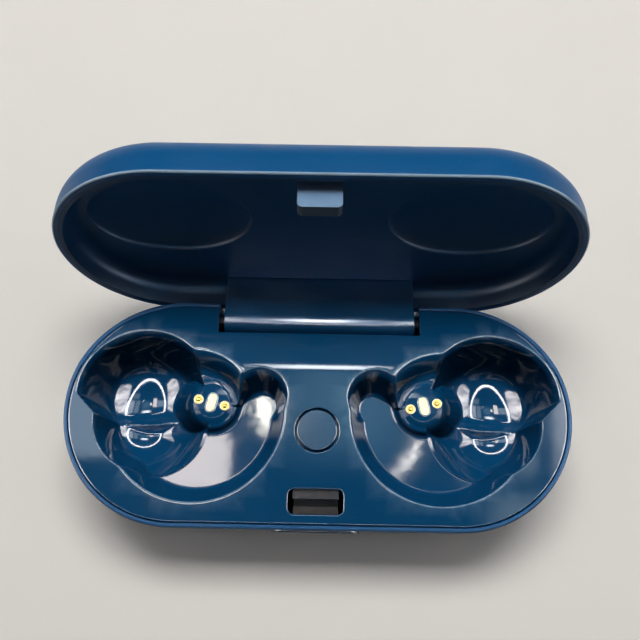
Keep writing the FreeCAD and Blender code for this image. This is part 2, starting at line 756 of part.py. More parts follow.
# Pairing button: a disc flush with the deck, held under it by a flange
def pairing_button():
    flange_top = "deck_under - button_travel / 4"
    flange_low = flange_top + " - button_flange_thick"
    disc = rod("button_disc", "z", (0, "button_y"), "button_radius", (flange_low, "base_height"))
    disc = rounded("button_disc_round", disc, sizes["button_round"], level(sizes["base_height"]))
    flange = rod("button_flange_solid", "z", (0, "button_y"), "button_flange", (flange_low, flange_top))
    stem = rod("button_stem_solid", "z", (0, "button_y"), "button_stem",
               ("board_top + switch_tall + plunger_tall + button_travel + stop_gap", flange_low))
    piece("pairing_button", fuse("pairing_button", disc, flange, stem))


def pairing_switch():
    half = "switch_side / 2"
    can = box("switch_can", ("-" + half, half), ("button_y - " + half, "button_y + " + half),
              ("board_top", "board_top + switch_tall"))
    plunger = rod("switch_plunger", "z", (0, "button_y"), "plunger_radius",
                  ("board_top", "board_top + switch_tall + plunger_tall"))
    piece("pairing_switch", fuse("pairing_switch", can, plunger))


# Latch release: front button and sliding catch, which move together, and their springs
def release():
    front = ("-case_width / 2 - release_proud", "front_inside + stop_gap")
    face = lying_pill("release_face", "release_length", "release_tall", "release_z", front)
    face = rounded("release_face_round", face, sizes["release_round"], front_edge(value(front[0])))
    reach = "release_length / 2 + flange_margin"
    tall = "release_tall / 2 + flange_margin / 2"
    flange = box("release_flange_solid", ("-(%s)" % reach, reach),
                 ("front_inside + stop_gap", "front_inside + stop_gap + release_flange"),
                 ("release_z - (%s)" % tall, "release_z + " + tall))
    piece("release_button", fuse("release_button", face, flange))
    back_of_flange = "front_inside + stop_gap + release_flange"
    plate_top = "catch_bottom + catch_plate"
    bar_top = "catch_bottom + catch_plate + catch_front_bar"
    piece("latch_slider", profile("latch_slider", "YZ_Plane", [
        (back_of_flange, "catch_bottom"),
        ("catch_back", "catch_bottom"),
        ("catch_back", "lip_top"),
        ("lip_front", "lip_top"),
        ("lip_front", "lip_bottom"),
        ("catch_post_front", "lip_bottom"),
        ("catch_post_front", plate_top),
        ("catch_bar_back", plate_top),
        ("catch_bar_back", bar_top),
        ("catch_bar_front", bar_top),
        ("catch_bar_front", plate_top),
        (back_of_flange, plate_top),
    ], "2 * catch_half"))
    height = "catch_bottom + catch_plate + latch_spring_radius"
    for side, sign in sides.items():
        centre = ("%d * latch_spring_x" % sign, height)
        coil = rod("latch_coil_" + side, "y", centre, "latch_spring_radius", ("catch_back", "rail_end"))
        core = rod("latch_coil_core_" + side, "y", centre, "latch_spring_bore",
                   ("catch_back - 1", "rail_end + 1"))
        piece("latch_spring_" + side, cut("latch_spring_" + side, coil, core))


def front_edge(y):
    # picks the edges of a face that looks to the front
    def pick(edge):
        bounds = edge.BoundBox
        return abs(bounds.YMin - y) < 0.01 and abs(bounds.YMax - y) < 0.01
    return pick


# Hinge: frame screwed to the base, pin, springs, and the lid's block that turns on the pin
def hinge():
    plate = box("frame_plate_solid", ("-cheek_out - frame_ear", "cheek_out + frame_ear"),
                ("frame_front", "frame_back"), ("frame_bottom", "frame_top"))
    solids = [plate]
    tools = [rod("frame_pin_bore", "x", ("hinge_y", "hinge_z"), "pin_radius + pin_play",
                 ("-case_length / 2", "case_length / 2"))]
    coils = []
    for side, sign in sides.items():
        span = sorted_span(sign, "notch_half + cheek_gap", "cheek_out")
        solids.append(box("frame_cheek_" + side, span, ("hinge_y - cheek_front", "frame_back"),
                          ("frame_bottom", "deck_under - stop_gap")))
        tools.append(screw_hole("frame_hole_" + side, "%d * hinge_post_x" % sign, screw_row(),
                                ("frame_bottom - 1", "frame_top + 1")))
        gap = "(notch_half + cheek_gap - block_half - hinge_spring_wide) / 2"
        span = sorted_span(sign, "block_half + " + gap, "block_half + hinge_spring_wide + " + gap)
        coil = rod("hinge_coil_" + side, "x", ("hinge_y", "hinge_z"), "hinge_spring_outer", span)
        core = rod("hinge_coil_core_" + side, "x", ("hinge_y", "hinge_z"), "hinge_spring_inner",
                   ("-case_length / 2", "case_length / 2"))
        coils.append(cut("hinge_coil_ring_" + side, coil, core))
    piece("hinge_frame", cut("hinge_frame", fuse("frame_solid", *solids), *tools))
    piece("hinge_springs", fuse("hinge_springs", *coils))
    piece("hinge_pin", rod("hinge_pin", "x", ("hinge_y", "hinge_z"), "pin_radius",
                           ("-cheek_out + block_gap", "cheek_out - block_gap")))
    front = "hinge_y - barrel_radius"
    rear = "hinge_y + barrel_radius"
    inner_rear = "case_width / 2 - liner_inset - liner_wall"
    neck = profile("block_neck", "YZ_Plane", [
        (front, "hinge_z"),
        (rear, "hinge_z"),
        (rear, "base_height - parting_gap"),
        (inner_rear, "lid_rim"),
        (inner_rear, "liner_back"),
        (front + " + block_lean", "liner_back"),
    ], "2 * block_half")
    barrel = rod("block_barrel", "x", ("hinge_y", "hinge_z"), "barrel_radius", ("-block_half", "block_half"))
    flange = box("block_flange_solid", ("-block_half - block_flange", "block_half + block_flange"),
                 (front + " + block_lean - block_flange", inner_rear + " - block_back"),
                 ("liner_back", "liner_back + block_flange_thick"))
    bore = rod("block_bore", "x", ("hinge_y", "hinge_z"), "pin_radius + pin_play",
               ("-block_half - 1", "block_half + 1"))
    lid_piece("hinge_block", cut("hinge_block", fuse("block_solid", neck, barrel, flange), bore))


# Lid: outer shell, inner liner with a recess over each earbud, and the latch tab
def lid_shell():
    outer = pill("lid_outer", "case_length", "case_width", ("lid_rim", "lid_top"))
    outer = rounded("lid_outer_round", outer, sizes["lid_round"], level(value("lid_top")))
    inner_top = "lid_top - lid_wall"
    cavity = pill("lid_cavity", "case_length - 2 * lid_wall", "case_width - 2 * lid_wall",
                  ("lid_rim - 1", inner_top))
    cavity = rounded("lid_cavity_round", cavity, max(sizes["lid_round"] - sizes["lid_wall"], 0.5),
                     level(value(inner_top)))
    shell = cut("lid_hollow", outer, cavity)
    flange_top = "liner_back + block_flange_thick"
    post_z = (flange_top, "lid_top - lid_wall / 2")
    posts = [rod("lid_post_%d" % i, "z", ("%s * lid_post_pitch" % (i - (post_count - 1) / 2),
                                          "hinge_y - barrel_radius"), "lid_post_radius", post_z)
             for i in range(post_count)]
    lid_piece("lid_shell", fuse("lid_shell", shell, *posts))


def lid_liner():
    inset = "2 * liner_inset"
    outer = pill("liner_outer", "case_length - " + inset, "case_width - " + inset, ("lid_rim", "liner_back"))
    outer = rounded("liner_outer_round", outer, sizes["liner_back_round"],
                    level(value("liner_back")))
    inner = "2 * (liner_inset + liner_wall)"
    hollow = pill("liner_hollow", "case_length - " + inner, "case_width - " + inner,
                  ("lid_rim - 1", "liner_face"))
    hollow = rounded("liner_hollow_round", hollow, sizes["liner_round"], level(value("liner_face")))
    domes = []
    recesses = []
    for side, sign in sides.items():
        centre = ("%d * recess_x" % sign, "recess_y", "liner_face")
        domes.append(ellipsoid("liner_dome_" + side, centre,
                               ("recess_long + recess_skin", "recess_wide + recess_skin",
                                "recess_deep + recess_skin")))
        recesses.append(ellipsoid("liner_recess_" + side, centre,
                                  ("recess_long", "recess_wide", "recess_deep")))
    above = box("liner_above", ("-case_length", "case_length"), ("-case_width", "case_width"),
                ("liner_face", "lid_top"))
    dome_tops = [common("liner_dome_top_%d" % i, dome, above) for i, dome in enumerate(domes)]
    front = "hinge_y - barrel_radius"
    block = box("liner_block_gap", ("-block_half - liner_gap", "block_half + liner_gap"),
                (front + " + block_lean / 2", "case_width"), ("lid_rim - 1", "liner_back + 1"))
    tab = box("liner_tab_slot", ("-tab_half - liner_gap", "tab_half + liner_gap"),
              ("tab_front - liner_gap", "tab_front + tab_thick + liner_gap"),
              ("lid_rim", "liner_back + 1"))
    solid = fuse("liner_solid", outer, *dome_tops)
    lid_piece("lid_liner", cut("lid_liner", solid, hollow, *recesses, block, tab))


def latch_tab():
    back = "tab_front + tab_thick"
    nose = back + " + nose_reach"
    shank = profile("tab_shank", "YZ_Plane", [
        ("tab_front", "tab_tip"),
        (nose, "tab_tip"),
        (nose, "tab_tip + nose_thick"),
        (back, "tab_tip + nose_thick"),
        (back, "liner_back"),
        ("tab_front", "liner_back"),
    ], "2 * tab_half")
    foot = box("tab_foot_solid", ("-tab_half - tab_foot", "tab_half + tab_foot"),
               ("tab_front - tab_foot / 2", back + " + tab_foot / 2"),
               ("liner_back", "liner_back + tab_foot_thick"))
    corner = rounded("tab_corners", shank, sizes["tab_corner"], tab_corners(value("tab_tip")))
    lid_piece("latch_tab", fuse("latch_tab", corner, foot))


def tab_corners(height):
    # picks the two short edges at the tip's corners, which run along Y
    def pick(edge):
        bounds = edge.BoundBox
        flat = abs(bounds.ZMin - height) < 0.01 and abs(bounds.ZMax - height) < 0.01
        return flat and bounds.XMax - bounds.XMin < 0.01
    return pick


# Boards and what stands on them
def boards():
    board = box("board_plate", ("-board_half", "board_half"), ("-board_deep / 2", "board_deep / 2"),
                ("board_bottom", "board_top"))
    holes = [screw_hole("board_hole_%d_%d" % (sign, step), "%d * post_x" % sign, "%d * post_y" % step,
                        ("board_bottom - 1", "board_top + 1")) for sign in (-1, 1) for step in (-1, 1)]
    piece("main_board", cut("main_board", board, *holes))
    top = ("board_top", "board_top + chip_tall")
    chips = []
    for name in ("charger_chip", "control_chip", "coil_chip"):
        spans = [(name + end, "%s + %s_side" % (name + end, name)) for end in ("_x", "_y")]
        chips.append(box(name, spans[0], spans[1], top))
    front = "-board_deep / 2 + light_chip_inset"
    for i in range(light_count):
        span = [light_place(i) + end for end in (" - light_chip_wide / 2", " + light_chip_wide / 2")]
        chips.append(box("light_chip_%d" % i, span, (front, front + " + light_chip_deep"), top))
    piece("board_components", fuse("board_components", *chips))
    plate = box("port_board_plate", ("-port_board_half", "port_board_half"),
                ("port_board_front", "port_board_back"), ("port_board_bottom", "port_board_top"))
    holes = [screw_hole("port_board_hole_%d" % sign, "%d * port_post_x" % sign, "port_post_y",
                        ("port_board_bottom - 1", "port_board_top + 1")) for sign in (-1, 1)]
    piece("port_board", cut("port_board", plate, *holes))


def screws():
    solids = []
    for sign in (-1, 1):
        solids += [screw("board_screw_%d_%d" % (sign, step), "%d * post_x" % sign, "%d * post_y" % step,
                         "board_bottom", -1) for step in (-1, 1)]
        solids.append(screw("port_screw_%d" % sign, "%d * port_post_x" % sign, "port_post_y",
                            "port_board_top"))
        solids.append(screw("hinge_screw_%d" % sign, "%d * hinge_post_x" % sign, screw_row(), "frame_top"))
    piece("case_screws", fuse("case_screws", *solids))


def battery():
    low = "floor_wall + pad_thick"
    cell = box("battery_cell", ("-battery_long / 2", "battery_long / 2"),
               ("battery_front", "battery_back"), (low, low + " + battery_tall"))
    piece("battery", rounded("battery", cell, sizes["battery_round"],
                             lambda edge: abs(edge.BoundBox.XLength - sizes["battery_long"]) < 0.01))
    piece("battery_pad", box("battery_pad", ("pad_inset - battery_long / 2", "battery_long / 2 - pad_inset"),
                             ("battery_front + pad_inset", "battery_back - pad_inset"), ("floor_wall", low)))
    piece("battery_lead", box("battery_lead", ("-lead_wide / 2", "lead_wide / 2"),
                              ("lead_y - lead_thick", "lead_y"),
                              (low + " + battery_tall", "board_bottom")))


def charge_port():
    mouth = "case_width / 2 - port_recess"
    shell = lying_pill("port_shell", "port_length", "port_tall", "port_z", ("port_back_y", mouth))
    hollow = lying_pill("port_hollow", "port_length - 2 * port_skin", "port_tall - 2 * port_skin", "port_z",
                        ("port_back_y + port_back", "case_width"))
    piece("charge_port", cut("charge_port", shell, hollow))
    back = "port_back_y + port_back"
    piece("port_tongue", box("port_tongue", ("-tongue_half", "tongue_half"), (back, back + " + tongue_deep"),
                             ("port_z - tongue_thick / 2", "port_z + tongue_thick / 2")))


def light_pipes():
    y = ("-case_width / 2", "-board_deep / 2 - pocket_gap")
    pipes = [rod("light_pipe_%d" % i, "y", (light_place(i), "light_z"), "light_radius", y)
             for i in range(light_count)]
    reach = "%s + light_radius" % light_place(light_count - 1)
    bar = box("light_bar_solid", ("-(%s)" % reach, reach), ("front_inside", "front_inside + light_bar"),
              ("light_z - light_radius", "light_z + light_radius"))
    piece("light_pipes", fuse("light_pipes", bar, *pipes))


base_shell()
deck()
for side, sign in sides.items():
    contacts(side, sign)
pairing_button()
pairing_switch()
release()
hinge()
lid_shell()
lid_liner()
latch_tab()
boards()
screws()
battery()
charge_port()
light_pipes()
doc.recompute()

for item in doc.Objects:
    if "Invalid" in item.State or "Error" in item.State:
        raise RuntimeError("%s is in state %s" % (item.Name, item.State))
for solid in pieces:
    if solid.Shape.isNull() or not solid.Shape.isValid() or not solid.Shape.Solids:
        raise RuntimeError("%s has no valid solid" % solid.Label)

os.makedirs("parts", exist_ok=True)
for solid in pieces:
    solid.Shape.exportStep("parts/%s.step" % solid.Label)
    print("%-28s %d solids %10.2f mm3" % (solid.Label, len(solid.Shape.Solids), solid.Shape.Volume))
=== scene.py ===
import json
import math
import bmesh
import bpy
import numpy as np
from mathutils import Euler, Matrix, Vector
from mathutils.geometry import delaunay_2d_cdt


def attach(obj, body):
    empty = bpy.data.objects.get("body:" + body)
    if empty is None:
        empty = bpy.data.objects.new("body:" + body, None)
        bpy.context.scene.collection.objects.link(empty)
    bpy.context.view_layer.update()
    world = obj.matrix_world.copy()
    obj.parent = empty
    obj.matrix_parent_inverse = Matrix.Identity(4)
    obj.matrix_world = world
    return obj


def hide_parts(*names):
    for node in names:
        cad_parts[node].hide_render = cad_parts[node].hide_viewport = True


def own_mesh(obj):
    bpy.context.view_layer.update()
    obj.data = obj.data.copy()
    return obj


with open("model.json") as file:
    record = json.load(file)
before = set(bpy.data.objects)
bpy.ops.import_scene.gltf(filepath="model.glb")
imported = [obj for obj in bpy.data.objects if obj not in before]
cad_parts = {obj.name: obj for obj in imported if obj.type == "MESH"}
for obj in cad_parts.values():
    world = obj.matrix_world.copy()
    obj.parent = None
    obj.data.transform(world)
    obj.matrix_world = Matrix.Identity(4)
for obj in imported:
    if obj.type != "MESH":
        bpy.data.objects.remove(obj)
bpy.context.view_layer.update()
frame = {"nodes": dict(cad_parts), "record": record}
mm = 0.001  # the object's sizes below are in millimetres, those of the studio in metres
scene = bpy.context.scene
print("frame loaded")

cameraSetup = {
    "place": (1.3035, -24.9298, 176.4598),  # mm, fitted to the outlines of the base and the lid
    "turn": (16.248215, 0.097666, 1.10231),  # degrees about x, y and z
    "lens": 41.584, "sensor": 36.0,
    "near": 0.01,  # metres
}


def makeCamera(setup):
    data = bpy.data.cameras.new("tableCamera")
    data.sensor_width = setup["sensor"]
    data.lens = setup["lens"]
    data.clip_start = setup["near"]
    camera = bpy.data.objects.new("tableCamera", data)
    scene.collection.objects.link(camera)
    turn = Euler([math.radians(angle) for angle in setup["turn"]])
    camera.matrix_world = Matrix.LocRotScale(Vector(setup["place"]) * mm, turn, None)
    scene.camera = camera


makeCamera(cameraSetup)
print("camera set")


def newMaterial(name):
    mat = bpy.data.materials.new(name)
    mat.use_nodes = True
    return mat, mat.node_tree, mat.node_tree.nodes["Principled BSDF"]


def addNode(tree, kind, inputs=None, **settings):
    node = tree.nodes.new(kind)
    for key, value in settings.items():
        setattr(node, key, value)
    for key, value in (inputs or {}).items():
        if isinstance(value, bpy.types.NodeSocket):
            tree.links.new(value, node.inputs[key])
        else:
            node.inputs[key].default_value = value
    return node


def mathNode(tree, operation, first, second=0.0):
    return addNode(tree, "ShaderNodeMath", {0: first, 1: second}, operation=operation).outputs[0]


def rangeNode(tree, value, start, end, low=0.0, high=1.0, **settings):
    # low where the value is start, high where it is end
    return addNode(tree, "ShaderNodeMapRange", {"Value": value, "From Min": start, "From Max": end,
                                                "To Min": low, "To Max": high}, **settings).outputs[0]


def attribute(tree, name):
    return addNode(tree, "ShaderNodeAttribute", attribute_name=name).outputs["Fac"]


def mixColour(tree, factor, first, second):
    node = addNode(tree, "ShaderNodeMix", {"Factor": factor}, data_type="RGBA")
    for socket, value in (("A_Color", first), ("B_Color", second)):
        target = next(i for i in node.inputs if i.identifier == socket)
        if isinstance(value, bpy.types.NodeSocket):
            tree.links.new(value, target)
        else:
            target.default_value = (*value, 1)
    return next(o for o in node.outputs if o.identifier == "Result_Color")


def inMillimetres(tree, turn=(0, 0, 0), stretch=(1, 1, 1)):
    coords = addNode(tree, "ShaderNodeTexCoord").outputs["Object"]
    scaled = addNode(tree, "ShaderNodeMapping", {"Vector": coords, "Scale": (1000, 1000, 1000)})
    if turn == (0, 0, 0) and stretch == (1, 1, 1):
        return scaled.outputs[0]
    return addNode(tree, "ShaderNodeMapping", {"Vector": scaled.outputs[0], "Rotation": turn,
                                               "Scale": stretch}).outputs[0]


def noise(tree, vector, size, detail=3.0, roughness=0.55):
    return addNode(tree, "ShaderNodeTexNoise", {"Vector": vector, "Scale": 1 / size, "Detail": detail,
                                                "Roughness": roughness}).outputs["Fac"]


def scratches(tree, angle, apart, long, share):
    # long thin streaks in one direction: 1 in a streak, 0 beside it
    vector = inMillimetres(tree, (0.3, 0.2, angle), (1 / long, 1 / apart, 1 / long))
    streak = noise(tree, vector, 1.0, 2.0, 0.5)
    return mathNode(tree, "GREATER_THAN", streak, share)


def dust(tree, apart, size, keep):
    # small specks, one in some of the cells of a grid of points
    cells = addNode(tree, "ShaderNodeTexVoronoi", {"Vector": inMillimetres(tree), "Scale": 1 / apart})
    near = mathNode(tree, "LESS_THAN", cells.outputs["Distance"], size / apart)
    chosen = addNode(tree, "ShaderNodeSeparateColor", {"Color": cells.outputs["Color"]}).outputs[0]
    return mathNode(tree, "MULTIPLY", near, mathNode(tree, "LESS_THAN", chosen, keep))


def bump(tree, height, distance, strength=1.0, normal=None):
    inputs = {"Height": height, "Distance": distance * mm, "Strength": strength}
    if normal is not None:
        inputs["Normal"] = normal
    return addNode(tree, "ShaderNodeBump", inputs).outputs[0]


glossSetup = {
    "flow": 9.0,  # mm, size of the flow marks
    "lines": ((0.5, 0.06, 9.0, 0.715), (-0.9, 0.05, 7.0, 0.725), (1.7, 0.05, 12.0, 0.735)),
    "lineMix": 0.5, "lineColour": (0.12, 0.22, 0.34), "lineRough": 0.18,
    "dust": (2.6, 0.055, 0.35),  # mm apart, mm across, share of the places that hold a speck
    "dustMix": 0.7, "dustColour": (0.42, 0.46, 0.5), "dustRough": 0.5, "dustBump": (0.02, 0.6),
    # colour of the painted shade on steep walls
    "darkColour": (0.0005, 0.004, 0.01),
    "rubbedAndHighlight": (1.6, 0.45),  # mm, size of the patches in the painted highlight along an edge, and the least that shows
    # colour of the painted highlight along lips
    "highlightColour": (0.34, 0.53, 0.7),
    "smear": (5.0, 0.8, 1.25),  # mm, and how far smears change the roughness
    "ripple": (6.0, 0.012),  # mm long and high
    "specular": (0.5, 0.06),  # on the bare moulding, and where it is dulled
    "ior": 1.5,
}


def glossBlue(name, colour, shade, roughness, wearAndHighlight):
    # polished moulding: hairline scratches, a little dust and faint flow marks, with a painted highlight along
    # its lips and painted shade on its steep walls
    s = glossSetup
    mat, tree, shader = newMaterial(name)
    place = inMillimetres(tree)
    lines = 0.0
    for line in s["lines"]:
        lines = mathNode(tree, "MAXIMUM", lines, scratches(tree, *line))
    wornAndHighlit = mathNode(tree, "MULTIPLY", lines, wearAndHighlight)
    specks = dust(tree, *s["dust"])
    patches = rangeNode(tree, noise(tree, place, s["rubbedAndHighlight"][0], 3.0, 0.6), 0.3, 0.7, s["rubbedAndHighlight"][1])
    base = mixColour(tree, noise(tree, place, s["flow"], 3.0, 0.6), shade, colour)
    # mixes in painted shade on steep walls and a painted highlight along lips, besides the scratches and dust
    for factor, over in ((attribute(tree, "shaded"), "darkColour"),
                         (mathNode(tree, "MULTIPLY", wornAndHighlit, s["lineMix"]), "lineColour"),
                         (mathNode(tree, "MULTIPLY", specks, s["dustMix"]), "dustColour"),
                         (mathNode(tree, "MULTIPLY", attribute(tree, "edgeHighlight"), patches), "highlightColour")):
        base = mixColour(tree, factor, base, s[over])
    tree.links.new(base, shader.inputs["Base Color"])
    smear = noise(tree, place, s["smear"][0], 2.0, 0.5)
    rough = rangeNode(tree, smear, 0.3, 0.7, roughness * s["smear"][1], roughness * s["smear"][2])
    rough = mathNode(tree, "ADD", rough, mathNode(tree, "MULTIPLY", wornAndHighlit, s["lineRough"]))
    rough = mathNode(tree, "ADD", rough, mathNode(tree, "MULTIPLY", specks, s["dustRough"]))
    tree.links.new(rough, shader.inputs["Roughness"])
    ripple = bump(tree, noise(tree, place, s["ripple"][0], 2.0, 0.5), s["ripple"][1])
    tree.links.new(bump(tree, specks, *s["dustBump"], ripple), shader.inputs["Normal"])
    level = rangeNode(tree, attribute(tree, "dulled"), 0.0, 1.0, *s["specular"])
    tree.links.new(level, shader.inputs["Specular IOR Level"])
    shader.inputs["IOR"].default_value = s["ior"]
    return mat


satinSetup = {
    "patches": 14.0,  # mm
    "dust": (3.4, 0.06, 0.3),
    "dustMix": 0.45,
    "dustColour": (0.35, 0.4, 0.45),
    "rubbedAndHighlight": (8.0, 0.05, 0.06),  # mm, and how far rubbing lowers and raises the roughness
    # colour of the painted highlight along a rounded rim
    "highlightColour": (0.27, 0.39, 0.5),
    "pitDepth": 0.006,  # mm
    "ior": 1.48,
}


def satinBlue(name, colour, shade, roughness, grain, specular):
    # moulded plastic with an etched grain, rubbed patches in its roughness, and a painted highlight along a
    # rounded rim
    s = satinSetup
    mat, tree, shader = newMaterial(name)
    place = inMillimetres(tree)
    specks = mathNode(tree, "MULTIPLY", dust(tree, *s["dust"]), s["dustMix"])
    base = mixColour(tree, noise(tree, place, s["patches"], 4.0, 0.6), shade, colour)
    base = mixColour(tree, specks, base, s["dustColour"])
    # painted highlight along the rounded rim
    base = mixColour(tree, attribute(tree, "edgeHighlight"), base, s["highlightColour"])
    tree.links.new(base, shader.inputs["Base Color"])
    size, smoother, rougher = s["rubbedAndHighlight"]
    rubbedAndHighlight = noise(tree, place, size, 3.0, 0.6)
    rough = rangeNode(tree, rubbedAndHighlight, 0.35, 0.65, roughness - smoother, roughness + rougher)
    tree.links.new(rough, shader.inputs["Roughness"])
    pits = addNode(tree, "ShaderNodeTexVoronoi", {"Vector": place, "Scale": 1 / grain},
                   feature="SMOOTH_F1").outputs["Distance"]
    tree.links.new(bump(tree, pits, s["pitDepth"], 0.5), shader.inputs["Normal"])
    shader.inputs["IOR"].default_value = s["ior"]
    shader.inputs["Specular IOR Level"].default_value = specular
    return mat


def metal(name, colour, roughness, brush=0.0, angle=0.0):
    # plated or drawn metal with fine lines and tarnish
    mat, tree, shader = newMaterial(name)
    tarnish = noise(tree, inMillimetres(tree), 0.8, 4.0, 0.65)
    dark = tuple(0.72 * c for c in colour)
    tree.links.new(mixColour(tree, tarnish, dark, colour), shader.inputs["Base Color"])
    lines = noise(tree, inMillimetres(tree, (0, 0, angle), (0.3, 12.0, 0.3)), 1.0, 2.0)
    rough = rangeNode(tree, lines, 0.0, 1.0, roughness * 0.7, roughness * 1.4)
    tree.links.new(rough, shader.inputs["Roughness"])
    tree.links.new(bump(tree, lines, 0.004, 0.3 + brush), shader.inputs["Normal"])
    shader.inputs["Metallic"].default_value = 1.0
    return mat


def plainMoulding(name, colour, roughness, grain=0.2, depth=0.006):
    # plastic of one colour with a fine grain
    mat, tree, shader = newMaterial(name)
    place = inMillimetres(tree)
    dark = tuple(0.8 * c for c in colour)
    tree.links.new(mixColour(tree, noise(tree, place, 3.0, 3.0), dark, colour), shader.inputs["Base Color"])
    fine = noise(tree, place, grain, 2.0)
    rough = rangeNode(tree, fine, 0.0, 1.0, roughness - 0.08, roughness + 0.08)
    tree.links.new(rough, shader.inputs["Roughness"])
    tree.links.new(bump(tree, fine, depth, 0.5), shader.inputs["Normal"])
    return mat


catchSetup = {
    "lipColours": ((0.004, 0.011, 0.018), (0.035, 0.03, 0.034)),
    "barColours": ((0.01, 0.01, 0.013), (0.03, 0.022, 0.02)),
    # colour of the painted shade in the groove
    "grooveShadeColour": (0.003, 0.007, 0.012),
    "lipStart": (17.8, 18.2),  # mm over the table, where the bar turns into the lip
    "grooveShadeStart": (17.3, 15.9),  # and where the painted shade in the groove begins and is full
    "rough": (0.22, 0.2),  # the least, and what the cloudy patches add
    "specular": 0.2,
}


def catchFinish(name):
    # natural moulding with painted shade in the groove that the lid's tab drops into
    s = catchSetup
    mat, tree, shader = newMaterial(name)
    place = inMillimetres(tree)
    height = addNode(tree, "ShaderNodeSeparateXYZ", {0: place}).outputs["Z"]
    cloud = noise(tree, place, 1.6, 3.0)
    lip = mixColour(tree, cloud, *s["lipColours"])
    bar = mixColour(tree, cloud, *s["barColours"])
    unshaded = mixColour(tree, rangeNode(tree, height, *s["lipStart"]), bar, lip)
    # painted shade, darker towards the bottom of the groove
    base = mixColour(tree, rangeNode(tree, height, *s["grooveShadeStart"]), unshaded, s["grooveShadeColour"])
    tree.links.new(base, shader.inputs["Base Color"])
    least, more = s["rough"]
    rough = mathNode(tree, "ADD", mathNode(tree, "MULTIPLY", cloud, more), least)
    tree.links.new(rough, shader.inputs["Roughness"])
    tree.links.new(bump(tree, cloud, 0.02, 0.5), shader.inputs["Normal"])
    shader.inputs["Specular IOR Level"].default_value = s["specular"]
    return mat


tabSetup = {
    "paleColours": ((0.1, 0.19, 0.32), (0.15, 0.26, 0.4)),
    # painted shade on the end of the tab
    "endShadeColour": (0.004, 0.02, 0.04),
    "facing": (0.5, 0.9),  # how far a face looks up before it turns pale, and is all pale
    "rough": 0.34,
}


def tabFinish(name):
    # pale on the faces that look up, with painted shade on the end
    s = tabSetup
    mat, tree, shader = newMaterial(name)
    normal = addNode(tree, "ShaderNodeTexCoord").outputs["Normal"]
    facing = addNode(tree, "ShaderNodeSeparateXYZ", {0: normal})
    patches = noise(tree, inMillimetres(tree), 2.0, 3.0)
    pale = mixColour(tree, patches, *s["paleColours"])
    side = rangeNode(tree, facing.outputs["Z"], *s["facing"])
    # faces that don't look up get the painted shade of the end
    tree.links.new(mixColour(tree, side, s["endShadeColour"], pale), shader.inputs["Base Color"])
    shader.inputs["Roughness"].default_value = s["rough"]
    tree.links.new(bump(tree, patches, 0.01, 0.5), shader.inputs["Normal"])
    return mat


def milkyPlastic(name, colour, shade):
    # cloudy light guide
    mat, tree, shader = newMaterial(name)
    cloud = noise(tree, inMillimetres(tree), 0.6, 2.0)
    tree.links.new(mixColour(tree, cloud, shade, colour), shader.inputs["Base Color"])
    rough = mathNode(tree, "ADD", mathNode(tree, "MULTIPLY", cloud, 0.15), 0.12)
    tree.links.new(rough, shader.inputs["Roughness"])
    shader.inputs["Transmission Weight"].default_value = 0.25
    return mat


def boardGreen(name, colour, shade):
    # solder mask over the weave of the board
    mat, tree, shader = newMaterial(name)
    weave = addNode(tree, "ShaderNodeTexWave", {"Vector": inMillimetres(tree), "Scale": 1.3, "Distortion": 1.5},
                    bands_direction="DIAGONAL").outputs["Fac"]
    tree.links.new(mixColour(tree, weave, shade, colour), shader.inputs["Base Color"])
    rough = mathNode(tree, "ADD", mathNode(tree, "MULTIPLY", weave, 0.15), 0.3)
    tree.links.new(rough, shader.inputs["Roughness"])
    tree.links.new(bump(tree, weave, 0.01, 0.5), shader.inputs["Normal"])
    return mat


finishes = {
    "case_blue": satinBlue("caseSatin", (0.001, 0.078, 0.22), (0.0008, 0.07, 0.2), 0.36, 0.09, 0.14),
    "liner_blue": satinBlue("linerSatin", (0.001, 0.046, 0.12), (0.0008, 0.038, 0.1), 0.42, 0.09, 0.12),
    "hinge_blue": satinBlue("hingeSatin", (0.002, 0.07, 0.18), (0.0015, 0.06, 0.16), 0.2, 0.07, 0.6),
    "tab_blue": tabFinish("tabSatin"),
    "deck_blue": glossBlue("deckGloss", (0.0025, 0.058, 0.15), (0.002, 0.052, 0.135), 0.06, 0.35),
    "button_blue": glossBlue("buttonGloss", (0.0025, 0.056, 0.145), (0.002, 0.05, 0.13), 0.16, 0.5),
    "catch_grey": catchFinish("catchMoulding"),
    "black_plastic": plainMoulding("blackMoulding", (0.012, 0.012, 0.014), 0.45),
    "clear_plastic": milkyPlastic("lightGuide", (0.75, 0.79, 0.82), (0.55, 0.6, 0.64)),
    "gold": metal("goldPlate", (0.52, 0.4, 0.12), 0.5),
    "nickel": metal("nickelPlate", (0.42, 0.385, 0.28), 0.55),
    "steel": metal("plainSteel", (0.55, 0.56, 0.58), 0.3, 0.2),
    "dark_steel": metal("blackenedSteel", (0.02, 0.02, 0.022), 0.5, 0.2),
    "board": boardGreen("solderMask", (0.015, 0.1, 0.035), (0.008, 0.06, 0.022)),
    "cell": metal("pouchFoil", (0.6, 0.61, 0.62), 0.38, 0.3, 0.4),
    "foam": plainMoulding("tapeFoam", (0.02, 0.02, 0.02), 0.8, 0.15, 0.03),
    "flex": plainMoulding("flexAmber", (0.28, 0.12, 0.02), 0.35),
}
print("finishes made", len(finishes))

